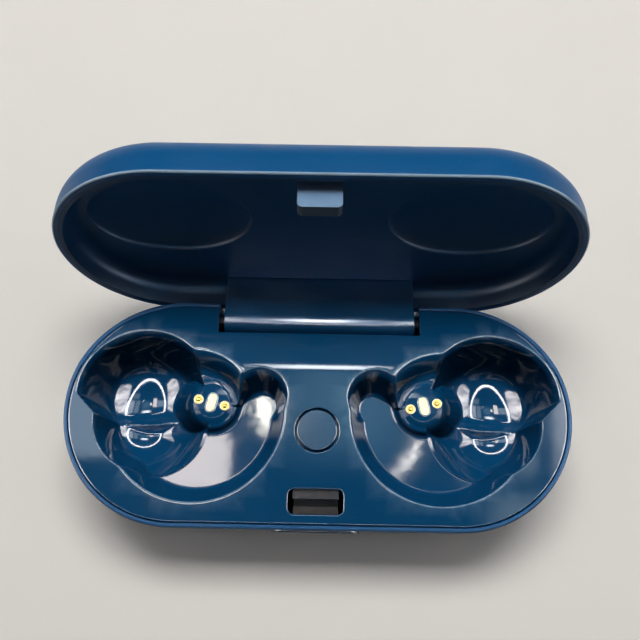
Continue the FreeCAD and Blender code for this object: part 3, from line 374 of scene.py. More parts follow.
ownFinish = {  # pieces that look other than their slot
    "hinge_block": "hinge_blue",
    "hinge_frame": "dark_steel", "hinge_pin": "dark_steel", "hinge_springs": "dark_steel",
}
softEdges = {  # mm by which the edges of a frame piece are rounded
    "lid_liner": 0.45, "latch_tab": 0.25, "latch_slider": 0.15, "release_button": 0.1,
    "hinge_block": 0.3, "hinge_frame": 0.2,
    "keeper_plate_left": 0.12, "keeper_plate_right": 0.12,
    "contact_barrels_left": 0.05, "contact_barrels_right": 0.05,
    "charge_port": 0.08, "port_tongue": 0.08,
}
sharpAngle = 40  # degrees; flatter edges aren't rounded
weldApart = 2e-6  # metres; points nearer than this are one


def dressNode(name, node, slot):
    node.data.materials.clear()
    node.data.materials.append(finishes[ownFinish.get(name, slot)])
    if name not in softEdges:
        return
    weld = node.modifiers.new("weld", "WELD")
    weld.merge_threshold = weldApart
    soft = node.modifiers.new("softEdges", "BEVEL")
    soft.width = softEdges[name] * mm
    soft.segments = 3
    soft.limit_method = "ANGLE"
    soft.angle_limit = math.radians(sharpAngle)
    soft.use_clamp_overlap = True
    soft.miter_outer = "MITER_ARC"
    soft.harden_normals = True


for part in frame["record"]["subparts"]:
    dressNode(part["node"], frame["nodes"][part["node"]], part["material_slot"])
print("frame pieces dressed")

deckSizes = {
    "top": 22.0, "skirt": 19.4,  # heights of the deck's face and of the foot of its edges
    "halfLength": 52.45, "halfWidth": 22.95,
    "edge": 0.35, "holeEdge": 0.25, "margin": 0.1,  # rounding of the edges, and the flat beside it
    "crest": 9.7, "fall": 0.1119, "crestSoft": 0.15,  # y behind which the face falls away, and how
    "notchHalf": 22.0, "notchFront": 17.25,
    "buttonY": -3.8, "buttonHole": 4.6,
    "slotY": -18.4, "slotHalf": 5.65, "slotWide": 5.0, "slotCorner": 1.3,
}
baySizes = {  # of the right-hand bay; a circle is given as x, y and radius
    "centre": (21.0, -1.0),  # where the grid of the bay starts
    "upper": (37.0, 3.2, 14.1), "upperSlope": (2.15, 0.6),
    "upperFloor": (37.0, 3.2, 14.2, 13.6, 18.5),  # x, y, depth and two radii of the dish
    "egg": 0.03,  # how much narrower it is to the rear
    "shoulder": 48.0, "shoulderSlope": 9.0,
    "ridge": (38.7, -1.85, 0.022),  # x and y of its middle, and its bend
    "ridgeDrop": 11.8, "ridgeSlope": 1.1,
    "lower": (35.6, -1.7, 11.45), "lowerFloor": (37.0, -3.7, 13.1, 12.2, 10.0),
    "lowerSlope": (8.0, 4.5), "lowerOut": 1.35,  # slope off the deck's side and on it, and the rim's reach
    "lowerDeckSide": ((-98, -70), (80, 110)),  # degrees where the deck's side begins and ends
    "lowerRim": 12.0, "lowerRimSlope": 1.5,  # the side of the lower bowl that opens into the trough
    "lowerRise": 5.0, "lowerRiseTurn": (-150, -75),
    "trough": (25.8, -0.1, 18.8), "troughRear": 2.4, "troughDeep": 6.5,
    "troughFloor": (25.8, -0.1, 15.9), "floorRear": 1.4, "floorFall": 0.004,
    "troughSlope": (2.3, 2.2),  # outside the trough's outline and inside its floor
    "wing": (12.3, 3.4, 5.9), "armFloor": (11.9, 1.75, 3.0), "armInner": (14.2, 1.2, 2.4),
    "nest": (26.8, -0.3, 13.4), "nestDeep": 4.8, "nestSlope": 1.2,
    "pedestal": 5.2, "pedestalSlope": 1.45,
    "boss": (22.9, 2.2, 3.95), "bossDeep": 3.8, "bossDome": 0.016, "bossSoft": 0.45,
    "bossSlope": (5.5, 1.5), "bossRound": (0.4, 2.2),  # at its crisp rear edge, and all round the rest
    "bossCrisp": (118, 0.35, 0.75),  # degrees that edge faces, and how it gives way to the rest
    "bossFrom": 2.0,  # depth over which nothing of the boss shows
    "lip": 0.8, "lipReach": 1.5, "lipJoin": 0.5,
    "farthest": 36.0, "step": 0.02,  # how the edge of the bay is looked for
}
blends = {  # mm over which one form of the bay runs into the next
    "bowlFloor": 4.0, "shoulder": 2.0, "lowerRims": 1.0, "lowerFloor": 2.5, "ridge": 1.2, "bowls": 0.7,
    "rear": 0.6, "wing": 0.5, "arm": 1.0, "troughFloor": 1.1, "nest": 1.5, "shelf": 0.8, "pedestal": 0.6,
    "bay": 1.2, "boss": 0.5,
}


def softMax(a, b, k):
    h = np.clip(0.5 + 0.5 * (a - b) / k, 0, 1)
    return b + (a - b) * h + k * h * (1 - h)


def softMin(a, b, k):
    return -softMax(-a, -b, k)


def softStep(a, low, high):
    t = np.clip((a - low) / (high - low), 0, 1)
    return t * t * (3 - 2 * t)


def softWindow(a, rise, fall):
    # 1 between rise and fall, 0 well outside them
    return softStep(a, *rise) * softStep(-a, -fall[1], -fall[0])


def deckFace(x, y):
    s = deckSizes
    return softMin(s["top"] + 0 * y, s["top"] - s["fall"] * (y - s["crest"]), s["crestSoft"])


def inside(x, y, lobe):
    return lobe[2] - np.hypot(x - lobe[0], y - lobe[1])


def dish(x, y, floor, egg=0.0):
    # shallow floor of a bowl; egg makes it narrower to the rear
    dx, dy = x - floor[0], y - floor[1]
    return floor[2] - dx ** 2 / (2 * floor[3]) * np.maximum(1 + egg * dy, 0.4) - dy ** 2 / (2 * floor[4])


def upperBowl(x, y, ridge):
    s, soft = baySizes, blends
    dx, dy = x - s["upper"][0], y - s["upper"][1]
    slope = s["upperSlope"][0] + s["upperSlope"][1] * dx ** 2 / (dx ** 2 + dy ** 2 + 1e-9)
    drop = softMin(inside(x, y, s["upper"]) * slope, dish(x, y, s["upperFloor"], s["egg"]), soft["bowlFloor"])
    drop = softMin(drop, s["ridgeDrop"] + s["ridgeSlope"] * ridge, soft["ridge"])
    return softMin(drop, (s["shoulder"] - (x - y)) / math.sqrt(2) * s["shoulderSlope"], soft["shoulder"])


def lowerBowl(x, y, ridge):
    s, soft = baySizes, blends
    dx, dy = x - s["lower"][0], y - s["lower"][1]
    r = np.hypot(dx, dy)
    turn = np.degrees(np.arctan2(dy, dx))
    deckSide = softWindow(turn, *s["lowerDeckSide"])
    far, near = s["lowerSlope"]
    steep = (s["lower"][2] + s["lowerOut"] * (1 - deckSide) - r) * (far - (far - near) * deckSide)
    gentle = s["troughDeep"] + s["lowerRimSlope"] * (s["lowerRim"] - r)
    gentle = gentle + s["lowerRise"] * softStep(turn, *s["lowerRiseTurn"])
    drop = softMin(softMin(steep, gentle, soft["lowerRims"]), dish(x, y, s["lowerFloor"]), soft["lowerFloor"])
    return softMin(drop, s["ridgeDrop"] - s["ridgeSlope"] * ridge, soft["ridge"])


def shelfDrop(x, y):
    # trough for the ear wing, its arm, and the sloping nest behind the boss
    s, soft = baySizes, blends
    outline = softMin(inside(x, y, s["trough"]), s["troughRear"] - y, soft["rear"])
    outline = softMax(inside(x, y, s["wing"]), outline, soft["wing"])
    arm = softMax(inside(x, y, s["armFloor"]), inside(x, y, s["armInner"]), soft["arm"])
    floor = softMin(inside(x, y, s["troughFloor"]), s["floorRear"] - y, soft["rear"])
    floor = softMax(arm, floor, soft["arm"])
    deep = s["troughDeep"]
    wall = deep * outline / np.maximum(outline - floor, 0.05)
    wall = np.where(floor > 0, deep + floor * s["troughSlope"][1], wall)
    wall = np.where(outline < 0, outline * s["troughSlope"][0], wall)
    trough = softMin(wall, deep + s["floorFall"] * np.maximum(floor, 0), soft["troughFloor"])
    nest = softMin(inside(x, y, s["nest"]) * s["nestSlope"], s["nestDeep"] + 0 * x, soft["nest"])
    shelf = softMax(trough, nest, soft["shelf"])
    r = np.hypot(x - s["boss"][0], y - s["boss"][1])
    rise = softMax(0 * r, (r - s["pedestal"]) * s["pedestalSlope"], soft["pedestal"])
    return softMin(shelf, s["nestDeep"] + rise, soft["shelf"])


def bayDrop(x, y):
    # depth of the right-hand bay under the deck's face, before its lip is rounded
    s, soft = baySizes, blends
    ridge = y - s["ridge"][1] - s["ridge"][2] * (x - s["ridge"][0]) ** 2
    bowls = softMax(upperBowl(x, y, ridge), lowerBowl(x, y, ridge), soft["bowls"])
    drop = softMax(bowls, shelfDrop(x, y), soft["bay"])
    dx, dy = x - s["boss"][0], y - s["boss"][1]
    r = np.hypot(dx, dy)
    facing, fade, full = s["bossCrisp"]
    crisp = softStep(np.cos(np.arctan2(dy, dx) - math.radians(facing)), fade, full)
    slope = s["bossSlope"][1] + (s["bossSlope"][0] - s["bossSlope"][1]) * crisp
    rounding = s["bossRound"][1] + (s["bossRound"][0] - s["bossRound"][1]) * crisp
    reach = s["boss"][2] + s["bossSoft"] * (1 - crisp)
    boss = s["bossDeep"] + s["bossDome"] * r ** 2 + softMax(0 * r, (r - reach) * slope, rounding)
    return np.where(drop > s["bossFrom"], softMin(drop, boss, soft["boss"]), drop)


def lipDrop(x, y):
    drop = bayDrop(x, y)
    return softMax(drop, 0 * drop, baySizes["lip"])


def bayFace(x, y):
    lip = lipDrop(x, y)
    blend = np.exp(-lip / baySizes["lipReach"])
    return deckFace(x, y) * blend + deckSizes["top"] * (1 - blend) - lip


def topHeight(x, y):
    # the flat top, which meets the outermost rings of the bays just below the face
    lip = lipDrop(x, y)
    return deckFace(x, y) - np.where(lip < baySizes["lipJoin"], lip, 0)


gridSetup = {
    "rays": 720,
    "middle": 64,  # rings between the core of a bay and its rim
    "core": ((0.15, 4.2, 0.15), (4.2, 7.0, 0.2)),  # radii from, to and by
    "rim": (2.4, 2.0, 1.65, 1.35, 1.1, 0.9, 0.72, 0.58, 0.46, 0.36, 0.28, 0.21, 0.15, 0.1, 0.05, 0.0,
            -0.05, -0.1, -0.15, -0.21, -0.28, -0.36, -0.5),  # inwards from the edge of the bay
}


def bayReach():
    # how far each ray from the bay's centre runs before it leaves the bay
    cx, cy = baySizes["centre"]
    turn = np.linspace(0, 2 * math.pi, gridSetup["rays"], endpoint=False)
    steps = np.arange(2.0, baySizes["farthest"], baySizes["step"])
    x = cx + np.cos(turn)[:, None] * steps
    y = cy + np.sin(turn)[:, None] * steps
    out = bayDrop(x, y) < 0
    first = out.argmax(axis=1)
    low, high = steps[first - 1], steps[first]
    for _ in range(20):
        mid = (low + high) / 2
        beyond = bayDrop(cx + np.cos(turn) * mid, cy + np.sin(turn) * mid) < 0
        high = np.where(beyond, mid, high)
        low = np.where(beyond, low, mid)
    return turn, (low + high) / 2


def bayGrid(side):
    # rings of points from the middle of a bay to just beyond its edge
    turn, reach = bayReach()
    cx, cy = baySizes["centre"]
    core = np.concatenate([np.arange(*span) for span in gridSetup["core"]])
    rim = gridSetup["rim"]
    middle = gridSetup["middle"]
    rows = [np.full_like(reach, r) for r in core]
    for i in range(middle):
        rows.append(core[-1] + (reach - rim[0] - core[-1]) * ((i + 0.5) / middle))
    rows += [reach - r for r in rim]
    radius = np.array(rows)
    x = cx + np.cos(turn) * radius
    y = cy + np.sin(turn) * radius
    z = bayFace(x, y)
    count = len(turn)
    points = np.concatenate([[[cx, cy, float(bayFace(np.array(cx), np.array(cy)))]],
                             np.stack([x.ravel(), y.ravel(), z.ravel()], axis=1)])
    faces = [(0, 1 + j, 1 + (j + 1) % count) for j in range(count)]
    for i in range(len(rows) - 1):
        for j in range(count):
            a = 1 + i * count + j
            b = 1 + i * count + (j + 1) % count
            faces.append((a, a + count, b + count, b))
    if side < 0:
        points[:, 0] *= -1
        faces = [face[::-1] for face in faces]
    return points, faces, points[-count:, :2]


def pillLoop(halfLength, halfWidth, count):
    centre = halfLength - halfWidth
    right = [(centre + halfWidth * math.cos(a), halfWidth * math.sin(a))
             for a in np.linspace(-math.pi / 2, math.pi / 2, count)]
    return right + [(-x, y) for x, y in reversed(right)]


def circleLoop(x, y, radius, count=96):
    return [(x + radius * math.cos(a), y + radius * math.sin(a))
            for a in np.linspace(0, 2 * math.pi, count, endpoint=False)]


def slotLoop(y, half, wide, corner, count=8):
    points = []
    for sx, sy, start in ((1, 1, 0), (-1, 1, 90), (-1, -1, 180), (1, -1, 270)):
        for a in np.linspace(start, start + 90, count):
            points.append((sx * (half - corner) + corner * math.cos(math.radians(a)),
                           y + sy * (wide / 2 - corner) + corner * math.sin(math.radians(a))))
    return points


def notchedOutline():
    # outline of the deck with the notch for the hinge block at the rear
    s = deckSizes
    points = pillLoop(s["halfLength"], s["halfWidth"], 96)
    split = next(i for i, p in enumerate(points) if p[1] > s["halfWidth"] - 1e-6 and p[0] < 0)
    rear = s["halfWidth"]
    notch = [(s["notchHalf"], rear), (s["notchHalf"], s["notchFront"]),
             (-s["notchHalf"], s["notchFront"]), (-s["notchHalf"], rear)]
    return points[:split] + notch + points[split:]


def offsetLoop(points, distance):
    # moves a counter-clockwise loop inwards, with mitred corners
    p = np.array(points, float)
    ahead = np.roll(p, -1, axis=0) - p
    ahead /= np.linalg.norm(ahead, axis=1)[:, None] + 1e-12
    behind = np.roll(ahead, 1, axis=0)
    left = np.stack([-ahead[:, 1], ahead[:, 0]], axis=1)
    leftBehind = np.stack([-behind[:, 1], behind[:, 0]], axis=1)
    middle = left + leftBehind
    scale = 2 / np.maximum((middle ** 2).sum(axis=1), 0.5)
    return p + middle * scale[:, None] * distance


def insideLoop(points, loop):
    # even-odd test of many points against one closed loop
    x, y = points[:, 0][:, None], points[:, 1][:, None]
    x1, y1 = np.asarray(loop).T
    x2, y2 = np.roll(x1, -1), np.roll(y1, -1)
    crossing = ((y1 > y) != (y2 > y)) & (x < (x2 - x1) * (y - y1) / (y2 - y1 + 1e-30) + x1)
    return crossing.sum(axis=1) % 2 == 1


def onTop(points, loops):
    # within the deck's outer loop and outside each hole
    keep = insideLoop(points, loops[0])
    for hole in loops[1:]:
        keep &= ~insideLoop(points, hole)
    return keep


class MeshBuilder:
    def __init__(self):
        self.points = []
        self.faces = []

    def add(self, points, faces):
        start = len(self.points)
        self.points.extend(map(tuple, points))
        self.faces.extend(tuple(i + start for i in face) for face in faces)

    def strip(self, loops, flip=False):
        # joins closed loops of equal length
        count = len(loops[0])
        faces = []
        for i in range(len(loops) - 1):
            for j in range(count):
                a, b = i * count + j, i * count + (j + 1) % count
                face = (a, b, b + count, a + count)
                faces.append(face[::-1] if flip else face)
        self.add([point for loop in loops for point in loop], faces)

    def make(self, name, material, body, weld, angle):
        mesh = bpy.data.meshes.new(name)
        mesh.from_pydata([(x * mm, y * mm, z * mm) for x, y, z in self.points], [], self.faces)
        mesh.validate()
        piece = bpy.data.objects.new(name, mesh)
        scene.collection.objects.link(piece)
        mesh.materials.append(material)
        mesh.polygons.foreach_set("use_smooth", [True] * len(mesh.polygons))
        mesh.set_sharp_from_angle(angle=math.radians(angle))
        modifier = piece.modifiers.new("weld", "WELD")
        modifier.merge_threshold = weld * mm
        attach(piece, body)
        return piece


def edgeStrip(builder, outline, radius):
    # skirt, rounded edge and a narrow flat margin along one edge of the deck
    s = deckSizes
    rows = [(0.0, None)] + [(radius * (1 - math.cos(t)), radius * (1 - math.sin(t)))
                            for t in np.linspace(0, math.pi / 2, 6)] + [(radius + s["margin"], 0.0)]
    loops = []
    for inset, drop in rows:
        flat = offsetLoop(outline, inset)
        height = np.full(len(flat), s["skirt"]) if drop is None else deckFace(flat[:, 0], flat[:, 1]) - drop
        loops.append(np.column_stack([flat, height]))
    builder.strip(loops)
    return loops[-1][:, :2]


topSetup = {
    "crestRows": (0.13, 0.4, 0.7, 1.0, 1.4, 1.8),  # mm before and behind the crest
    "crestSpan": (-51.0, 51.1, 0.75),  # x from, to and by
    "wideX": (-50, 51, 4.0),
    "wideY": (-21, 22, 3.0),
    "clear": 0.3,  # the least from a loop
}


def sparePoints(loops):
    # points on the flat top between the loops, with close rows that follow the crest
    s = topSetup
    rows = [-d for d in s["crestRows"][::-1]] + list(s["crestRows"])
    spare = [(x, deckSizes["crest"] + dy) for dy in rows for x in np.arange(*s["crestSpan"])]
    spare += [(x, y) for x in np.arange(*s["wideX"]) for y in np.arange(*s["wideY"])]
    spare = np.array(spare)
    edge = np.concatenate(loops)
    clear = np.array([np.min(np.hypot(*(edge - p).T)) > s["clear"] for p in spare])
    return spare[onTop(spare, loops) & clear]


def flatTop(loops):
    # triangles between the outer loop and the holes
    edges = []
    start = 0
    for loop in loops:
        n = len(loop)
        edges += [(start + i, start + (i + 1) % n) for i in range(n)]
        start += n
    flat = np.concatenate(loops + [sparePoints(loops)])
    result = delaunay_2d_cdt([Vector(p) for p in flat.tolist()], edges, [], 0, 1e-6)
    points = np.array([tuple(v) for v in result[0]])
    triangles = np.array([tuple(f) for f in result[2]])
    triangles = triangles[onTop(points[triangles].mean(axis=1), loops)]
    corner = points[triangles]
    area = np.cross(corner[:, 1] - corner[:, 0], corner[:, 2] - corner[:, 0])
    faces = [tuple(t) if a > 0 else tuple(t[::-1]) for t, a in zip(triangles.tolist(), area)]
    heights = topHeight(np.abs(points[:, 0]), points[:, 1])
    return np.column_stack([points, heights]), faces


lipHighlightAndShadeSetup = {
    "lip": (0.11, 0.075, 0.95),  # depth at which the painted highlight on a lip is strongest, how far it spreads, how bright
    "lipReach": 1.2,
    "steep": (0.12, 0.5), "steepDeep": (0.9, 2.0),  # lean and depth over which a wall takes painted shade
    "dark": (0.45, 0.75, 0.95),  # painted shade of a wall that faces sideways, by its facing, and the most
    "bossArcTurn": ((92, 98), (160, 168)), "bossArc": ((3.5, 3.7), (4.5, 4.7)),  # degrees and mm, kept bright
    "bossDull": (-6.6, -6.0), "dull": 0.9, "dullDeep": (1.5, 2.5),
}


def paintLipHighlightAndShade(deck):
    # marks the painted highlight on the lips, the painted shade on the walls and what is dulled round the boss
    s = lipHighlightAndShadeSetup
    points = np.array([tuple(v.co) for v in deck.data.vertices]) / mm
    x, y, z = np.abs(points[:, 0]), points[:, 1], points[:, 2]
    sunk = deckFace(x, y) - z
    near = np.abs(bayDrop(x, y)) < s["lipReach"]
    # painted highlight along the lips of the bays
    depth, width, bright = s["lip"]
    wearAndHighlight = np.where(near, np.exp(-((sunk - depth) / width) ** 2), 0) * bright
    normals = np.array([tuple(v.normal) for v in deck.data.vertices])
    # painted shade on steep walls, most on those that face the front
    steep = softStep(1 - normals[:, 2], *s["steep"]) * softStep(sunk, *s["steepDeep"])
    dark = steep * np.clip(s["dark"][0] - s["dark"][1] * normals[:, 1], 0, s["dark"][2])
    dx, dy = x - baySizes["boss"][0], y - baySizes["boss"][1]
    r, turn = np.hypot(dx, dy), np.degrees(np.arctan2(dy, dx))
    arc = softWindow(turn, *s["bossArcTurn"]) * softWindow(r, *s["bossArc"])
    dull = np.maximum(softStep(-r, *s["bossDull"]) * (1 - arc) * s["dull"], dark * s["dull"])
    dull = dull * softStep(sunk, *s["dullDeep"])
    for name, values in (("edgeHighlight", wearAndHighlight), ("shaded", dark), ("dulled", dull)):
        deck.data.attributes.new(name, "FLOAT", "POINT").data.foreach_set("value", values)


def makeDeck():
    s = deckSizes
    builder = MeshBuilder()
    loops = [edgeStrip(builder, notchedOutline(), s["edge"])]
    for hole in (circleLoop(0, s["buttonY"], s["buttonHole"]),
                 slotLoop(s["slotY"], s["slotHalf"], s["slotWide"], s["slotCorner"])):
        loops.append(edgeStrip(builder, hole[::-1], s["holeEdge"]))
    for side in (1, -1):
        points, faces, edge = bayGrid(side)
        builder.add(points, faces)
        loops.append(edge)
    builder.add(*flatTop(loops))
    deck = builder.make("deck_moulding", finishes["deck_blue"], "base", 2e-3, 50)
    paintLipHighlightAndShade(deck)
    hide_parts("deck")


makeDeck()
print("deck moulding made")

# each rim's rounded edge gets a painted highlight, faint on base_shell and bright on lid_shell
rims = {
    "base_shell": {"piece": "base_moulding", "body": "base", "width": 0.6, "steps": 6, "wearAndHighlight": 0.1},
    "lid_shell": {"piece": "lid_moulding", "body": "lid", "width": 0.45, "steps": 5, "wearAndHighlight": 0.9},
}
rimSearch = {
    "level": 0.95, "upright": 0.2,  # how squarely the land faces out of the shell, and how little its wall
    "outwards": 0.2,  # how far that wall faces away from the middle
    "margin": 0.8,  # mm from the deck's outline to the base's outer wall
}


def outermost(spot):
    s = deckSizes
    x, y = max(abs(spot.x) / mm - (s["halfLength"] - s["halfWidth"]), 0), spot.y / mm
    return math.hypot(x, y) > s["halfWidth"] + rimSearch["margin"]


def rimEdges(mesh, node):
    # the outer edge of the rim: where its flat land meets the outer wall
    s = rimSearch
    land = Vector((0, 0, 1))
    if node == "lid_shell":  # the land of the open lid is its largest face to the front
        land = max((f for f in mesh.faces if f.normal.y < -0.8), key=lambda f: f.calc_area()).normal.copy()
    middle = sum((v.co for v in mesh.verts), Vector()) / len(mesh.verts)
    picked = []
    for edge in mesh.edges:
        if len(edge.link_faces) != 2 or not edge.is_convex:
            continue
        first, second = sorted(edge.link_faces, key=lambda f: -f.normal.dot(land))
        if first.normal.dot(land) < s["level"] or abs(second.normal.dot(land)) > s["upright"]:
            continue
        centre = (edge.verts[0].co + edge.verts[1].co) / 2
        out = centre - middle
        out -= land * out.dot(land)
        if second.normal.dot(out.normalized()) <= s["outwards"]:
            continue
        if node == "lid_shell" or outermost(centre):
            picked.append(edge)
    return picked


def roundRim(node, setup):
    mesh = bmesh.new()
    mesh.from_mesh(frame["nodes"][node].data)
    bmesh.ops.remove_doubles(mesh, verts=mesh.verts, dist=weldApart)
    bmesh.ops.dissolve_limit(mesh, angle_limit=math.radians(0.4), verts=mesh.verts, edges=mesh.edges)
    picked = rimEdges(mesh, node)
    made = bmesh.ops.bevel(mesh, geom=picked, offset=setup["width"] * mm, offset_type="OFFSET",
                           segments=setup["steps"], profile=0.5, affect="EDGES", clamp_overlap=False)
    # a painted highlight on the rounded edge of the rim
    wornAndHighlit = mesh.verts.layers.float.new("edgeHighlight")
    rounded = set(made["faces"])
    for face in rounded:
        for vert in face.verts:
            if all(near in rounded for near in vert.link_faces):
                vert[wornAndHighlit] = setup["wearAndHighlight"]
    data = bpy.data.meshes.new(setup["piece"])
    mesh.to_mesh(data)
    mesh.free()
    piece = bpy.data.objects.new(setup["piece"], data)
    scene.collection.objects.link(piece)
    data.materials.append(finishes["case_blue"])
    data.polygons.foreach_set("use_smooth", [True] * len(data.polygons))
    data.set_sharp_from_angle(angle=math.radians(32))
    weight = piece.modifiers.new("evenShade", "WEIGHTED_NORMAL")
    weight.keep_sharp = True
    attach(piece, setup["body"])
    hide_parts(node)
    print(setup["piece"], len(picked), "rim edges rounded")


for node, setup in rims.items():
    roundRim(node, setup)

coilSetup = {
    "latch": {"axis": 1, "fixed": -11.4, "travel": 1.2},  # fixed end in mm along the axis, travel in mm
    "contact": {"axis": 2, "fixed": 12.25, "travel": 0.5},
}


def makeCoil(node, setup):
    # a copy of the spring in place of the frame's one, which is hidden
    axis, fixed = setup["axis"], setup["fixed"]
    source = frame["nodes"][node]
    piece = bpy.data.objects.new(node.replace("spring", "coil"), source.data.copy())
    scene.collection.objects.link(piece)
    way, anchor = [0.0, 0.0, 0.0], [0.0, 0.0, 0.0]
    way[axis], anchor[axis] = 1.0, fixed * mm
    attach(piece, "base")
    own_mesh(piece)
    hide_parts(node)


for side in ("left", "right"):
    makeCoil(f"latch_spring_{side}", coilSetup["latch"])
for side in ("left", "right"):
    for place in ("inner", "outer"):
        makeCoil(f"contact_spring_{side}_{place}", coilSetup["contact"])
print("springs made")

plateSetup = {
    "centre": (22.9, 2.2), "half": (1.95, 0.95), "tilt": 13.0, "foot": 17.6,
    "gap": 0.05, "frameTop": 18.34,
    # distance outwards and height against the top; None is the foot
    "frame": ((0.0, None), (0.0, -0.08), (0.03, -0.02), (0.13, 0.0), (0.23, -0.03), (0.26, -0.1), (0.26, None)),
    "frameHighlight": (0.06, 0.8),  # mm under the top that get a painted highlight, and how bright
    "pins": ((2.85, 0.65), (-2.85, -0.65)), "pinRadius": 0.83, "washerTop": 18.3,
    "washer": ((0.0, None), (0.0, -0.05), (0.04, 0.0), (0.18, 0.0), (0.24, -0.07), (0.24, None)),
}


def profileRows(profile, start, top):
    return [(start + out, plateSetup["foot"] if rise is None else top + rise) for out, rise in profile]


def turnedPill(side, grow, z):
    # outline round the magnet plate, counter-clockwise for the right-hand bay
    p = plateSetup
    angle = math.radians(90 + p["tilt"])
    return [(side * (p["centre"][0] + x * math.cos(angle) - y * math.sin(angle)),
             p["centre"][1] + x * math.sin(angle) + y * math.cos(angle), z)
            for x, y in pillLoop(p["half"][0] + grow, p["half"][1] + grow, 20)]


def plateSurround(side, name):
    # moulded frame round the magnet plate, with a plated washer at each contact
    p = plateSetup
    border = MeshBuilder()
    rows = profileRows(p["frame"], p["gap"], p["frameTop"])
    border.strip([turnedPill(side, grow, z) for grow, z in rows], side > 0)
    piece = border.make("plate_frame_" + name, finishes["button_blue"], "base", 1e-4, 60)
    # painted highlight along the top of the frame
    rubbedAndHighlight, bright = p["frameHighlight"]
    wearAndHighlight = [bright * (p["frameTop"] - v.co.z / mm < rubbedAndHighlight) for v in piece.data.vertices]
    piece.data.attributes.new("edgeHighlight", "FLOAT", "POINT").data.foreach_set("value", wearAndHighlight)
    washers = MeshBuilder()
    for dx, dy in p["pins"]:
        x, y = side * (p["centre"][0] + dx), p["centre"][1] + dy
        rows = profileRows(p["washer"], p["pinRadius"], p["washerTop"])
        washers.strip([[(*spot, z) for spot in circleLoop(x, y, r, 40)] for r, z in rows], True)
    piece = washers.make("contact_washers_" + name, finishes["nickel"], "base", 1e-4, 60)


for side, name in ((-1, "left"), (1, "right")):
    plateSurround(side, name)
print("plate surrounds made")

studio = {  # metres
    "floor": (0.74, 0.71, 0.66), "floorSpeck": 0.05, "floorRough": 0.85,
    "floorHalf": 9.0, "near": 0.16, "far": 0.5,  # the floor runs into the backdrop between near and far
    "backdrop": 0.78, "glow": 0.72,  # the backdrop's level, and what its colour averages
    "bounce": 0.3, "ambient": 0.05, "overhead": 0.03, "sky": (1.0, 0.98, 0.95, 1),
    "horizon": (0.03, 0.16), "horizonSeen": (0.5, 0.8),
    "height": 0.522,  # the overhead lamps hang in one plane, and the ring lamp just over it
    "ring": (0.0, 0.0995, 0.34), "ringBand": (0.296, 0.33), "ringLight": 28.0, "ringOver": 0.01,
}
glossLamps = {  # lamps for the gloss alone, by their span in x and y, in metres
    "leftBox": {"x": (-0.15, -0.082), "y": (0.01, 0.118), "light": 16.0, "colour": (1.0, 0.9, 0.83),
                "feather": 0.05},
    "leftWall": {"x": (-0.34, -0.15), "y": (0.034, 0.118), "light": 4.5, "colour": (0.8, 0.93, 1.0),
                 "feather": 0.08},
    "rightBox": {"x": (0.113, 0.195), "y": (0.018, 0.2), "light": 3.4, "colour": (0.88, 1.0, 0.97),
                 "feather": 0.15, "uneven": {"streaks": 0.25, "stretch": (2, 5, 1)}},
    "rightWall": {"x": (0.195, 0.38), "y": (0.018, 0.2), "light": 7.5, "colour": (0.94, 0.98, 1.0),
                  "feather": 0.12, "uneven": {"streaks": 0.25, "stretch": (4, 2, 1)}},
    "rightLow": {"x": (0.13, 0.3), "y": (-0.06, 0.018), "light": 2.3, "colour": (0.8, 0.98, 1.0),
                 "feather": 0.2},
    "haze": {"x": (-0.066, 0.113), "y": (0.02, 0.155), "light": 2.0, "colour": (0.5, 0.85, 1.0),
             "feather": 0.4},
    "crestLamp": {"x": (-0.09, 0.09), "y": (0.142, 0.21), "light": 26.0, "colour": (0.92, 0.97, 1.0),
                  "feather": 0.4},
    "noseLamp": {"x": (-0.115, 0.115), "y": (-0.1, 0.2), "light": 34.0, "colour": (0.95, 0.98, 1.0),
                 "feather": 0.3, "under": 0.02, "lights": "hinge_block"},
    # the sparks hang just under the wide lamps, or they would be hidden
    "sparkLeft": {"x": (-0.064, -0.036), "y": (0.057, 0.093), "light": 60.0, "colour": (1.0, 0.97, 0.82),
                  "feather": 0.25, "under": 0.01,
                  "uneven": {"streaks": 1.0, "stretch": (4, 5, 1), "spread": 0.04}},
    "sparkRight": {"x": (0.0725, 0.0805), "y": (0.02, 0.062), "light": 60.0, "colour": (1.0, 0.97, 0.9),
                   "feather": 0.25, "under": 0.01, "turn": -40,
                   "uneven": {"streaks": 1.0, "stretch": (1.5, 6, 1), "spread": 0.05}},
}
sideWindows = {
    "away": 0.6, "y": -0.01, "height": 0.52, "size": (0.6, 0.84), "light": 26.0, "colour": (1.0, 0.93, 0.9),
    "feather": 0.12, "streaks": 0.8, "stretch": (3.5, 0.6, 1),
}
topLamp = {"place": (0, 0.29, 0.68), "aim": (0, 0, 0.01), "size": (0.5, 0.22), "light": 14.0}


def backdropRays(tree):
    # 1 for the rays that show the backdrop, 0 for the light that bounces off it
    path = addNode(tree, "ShaderNodeLightPath").outputs
    return mathNode(tree, "MAXIMUM", path["Is Camera Ray"],
                    mathNode(tree, "MAXIMUM", path["Is Glossy Ray"], path["Is Transmission Ray"]))


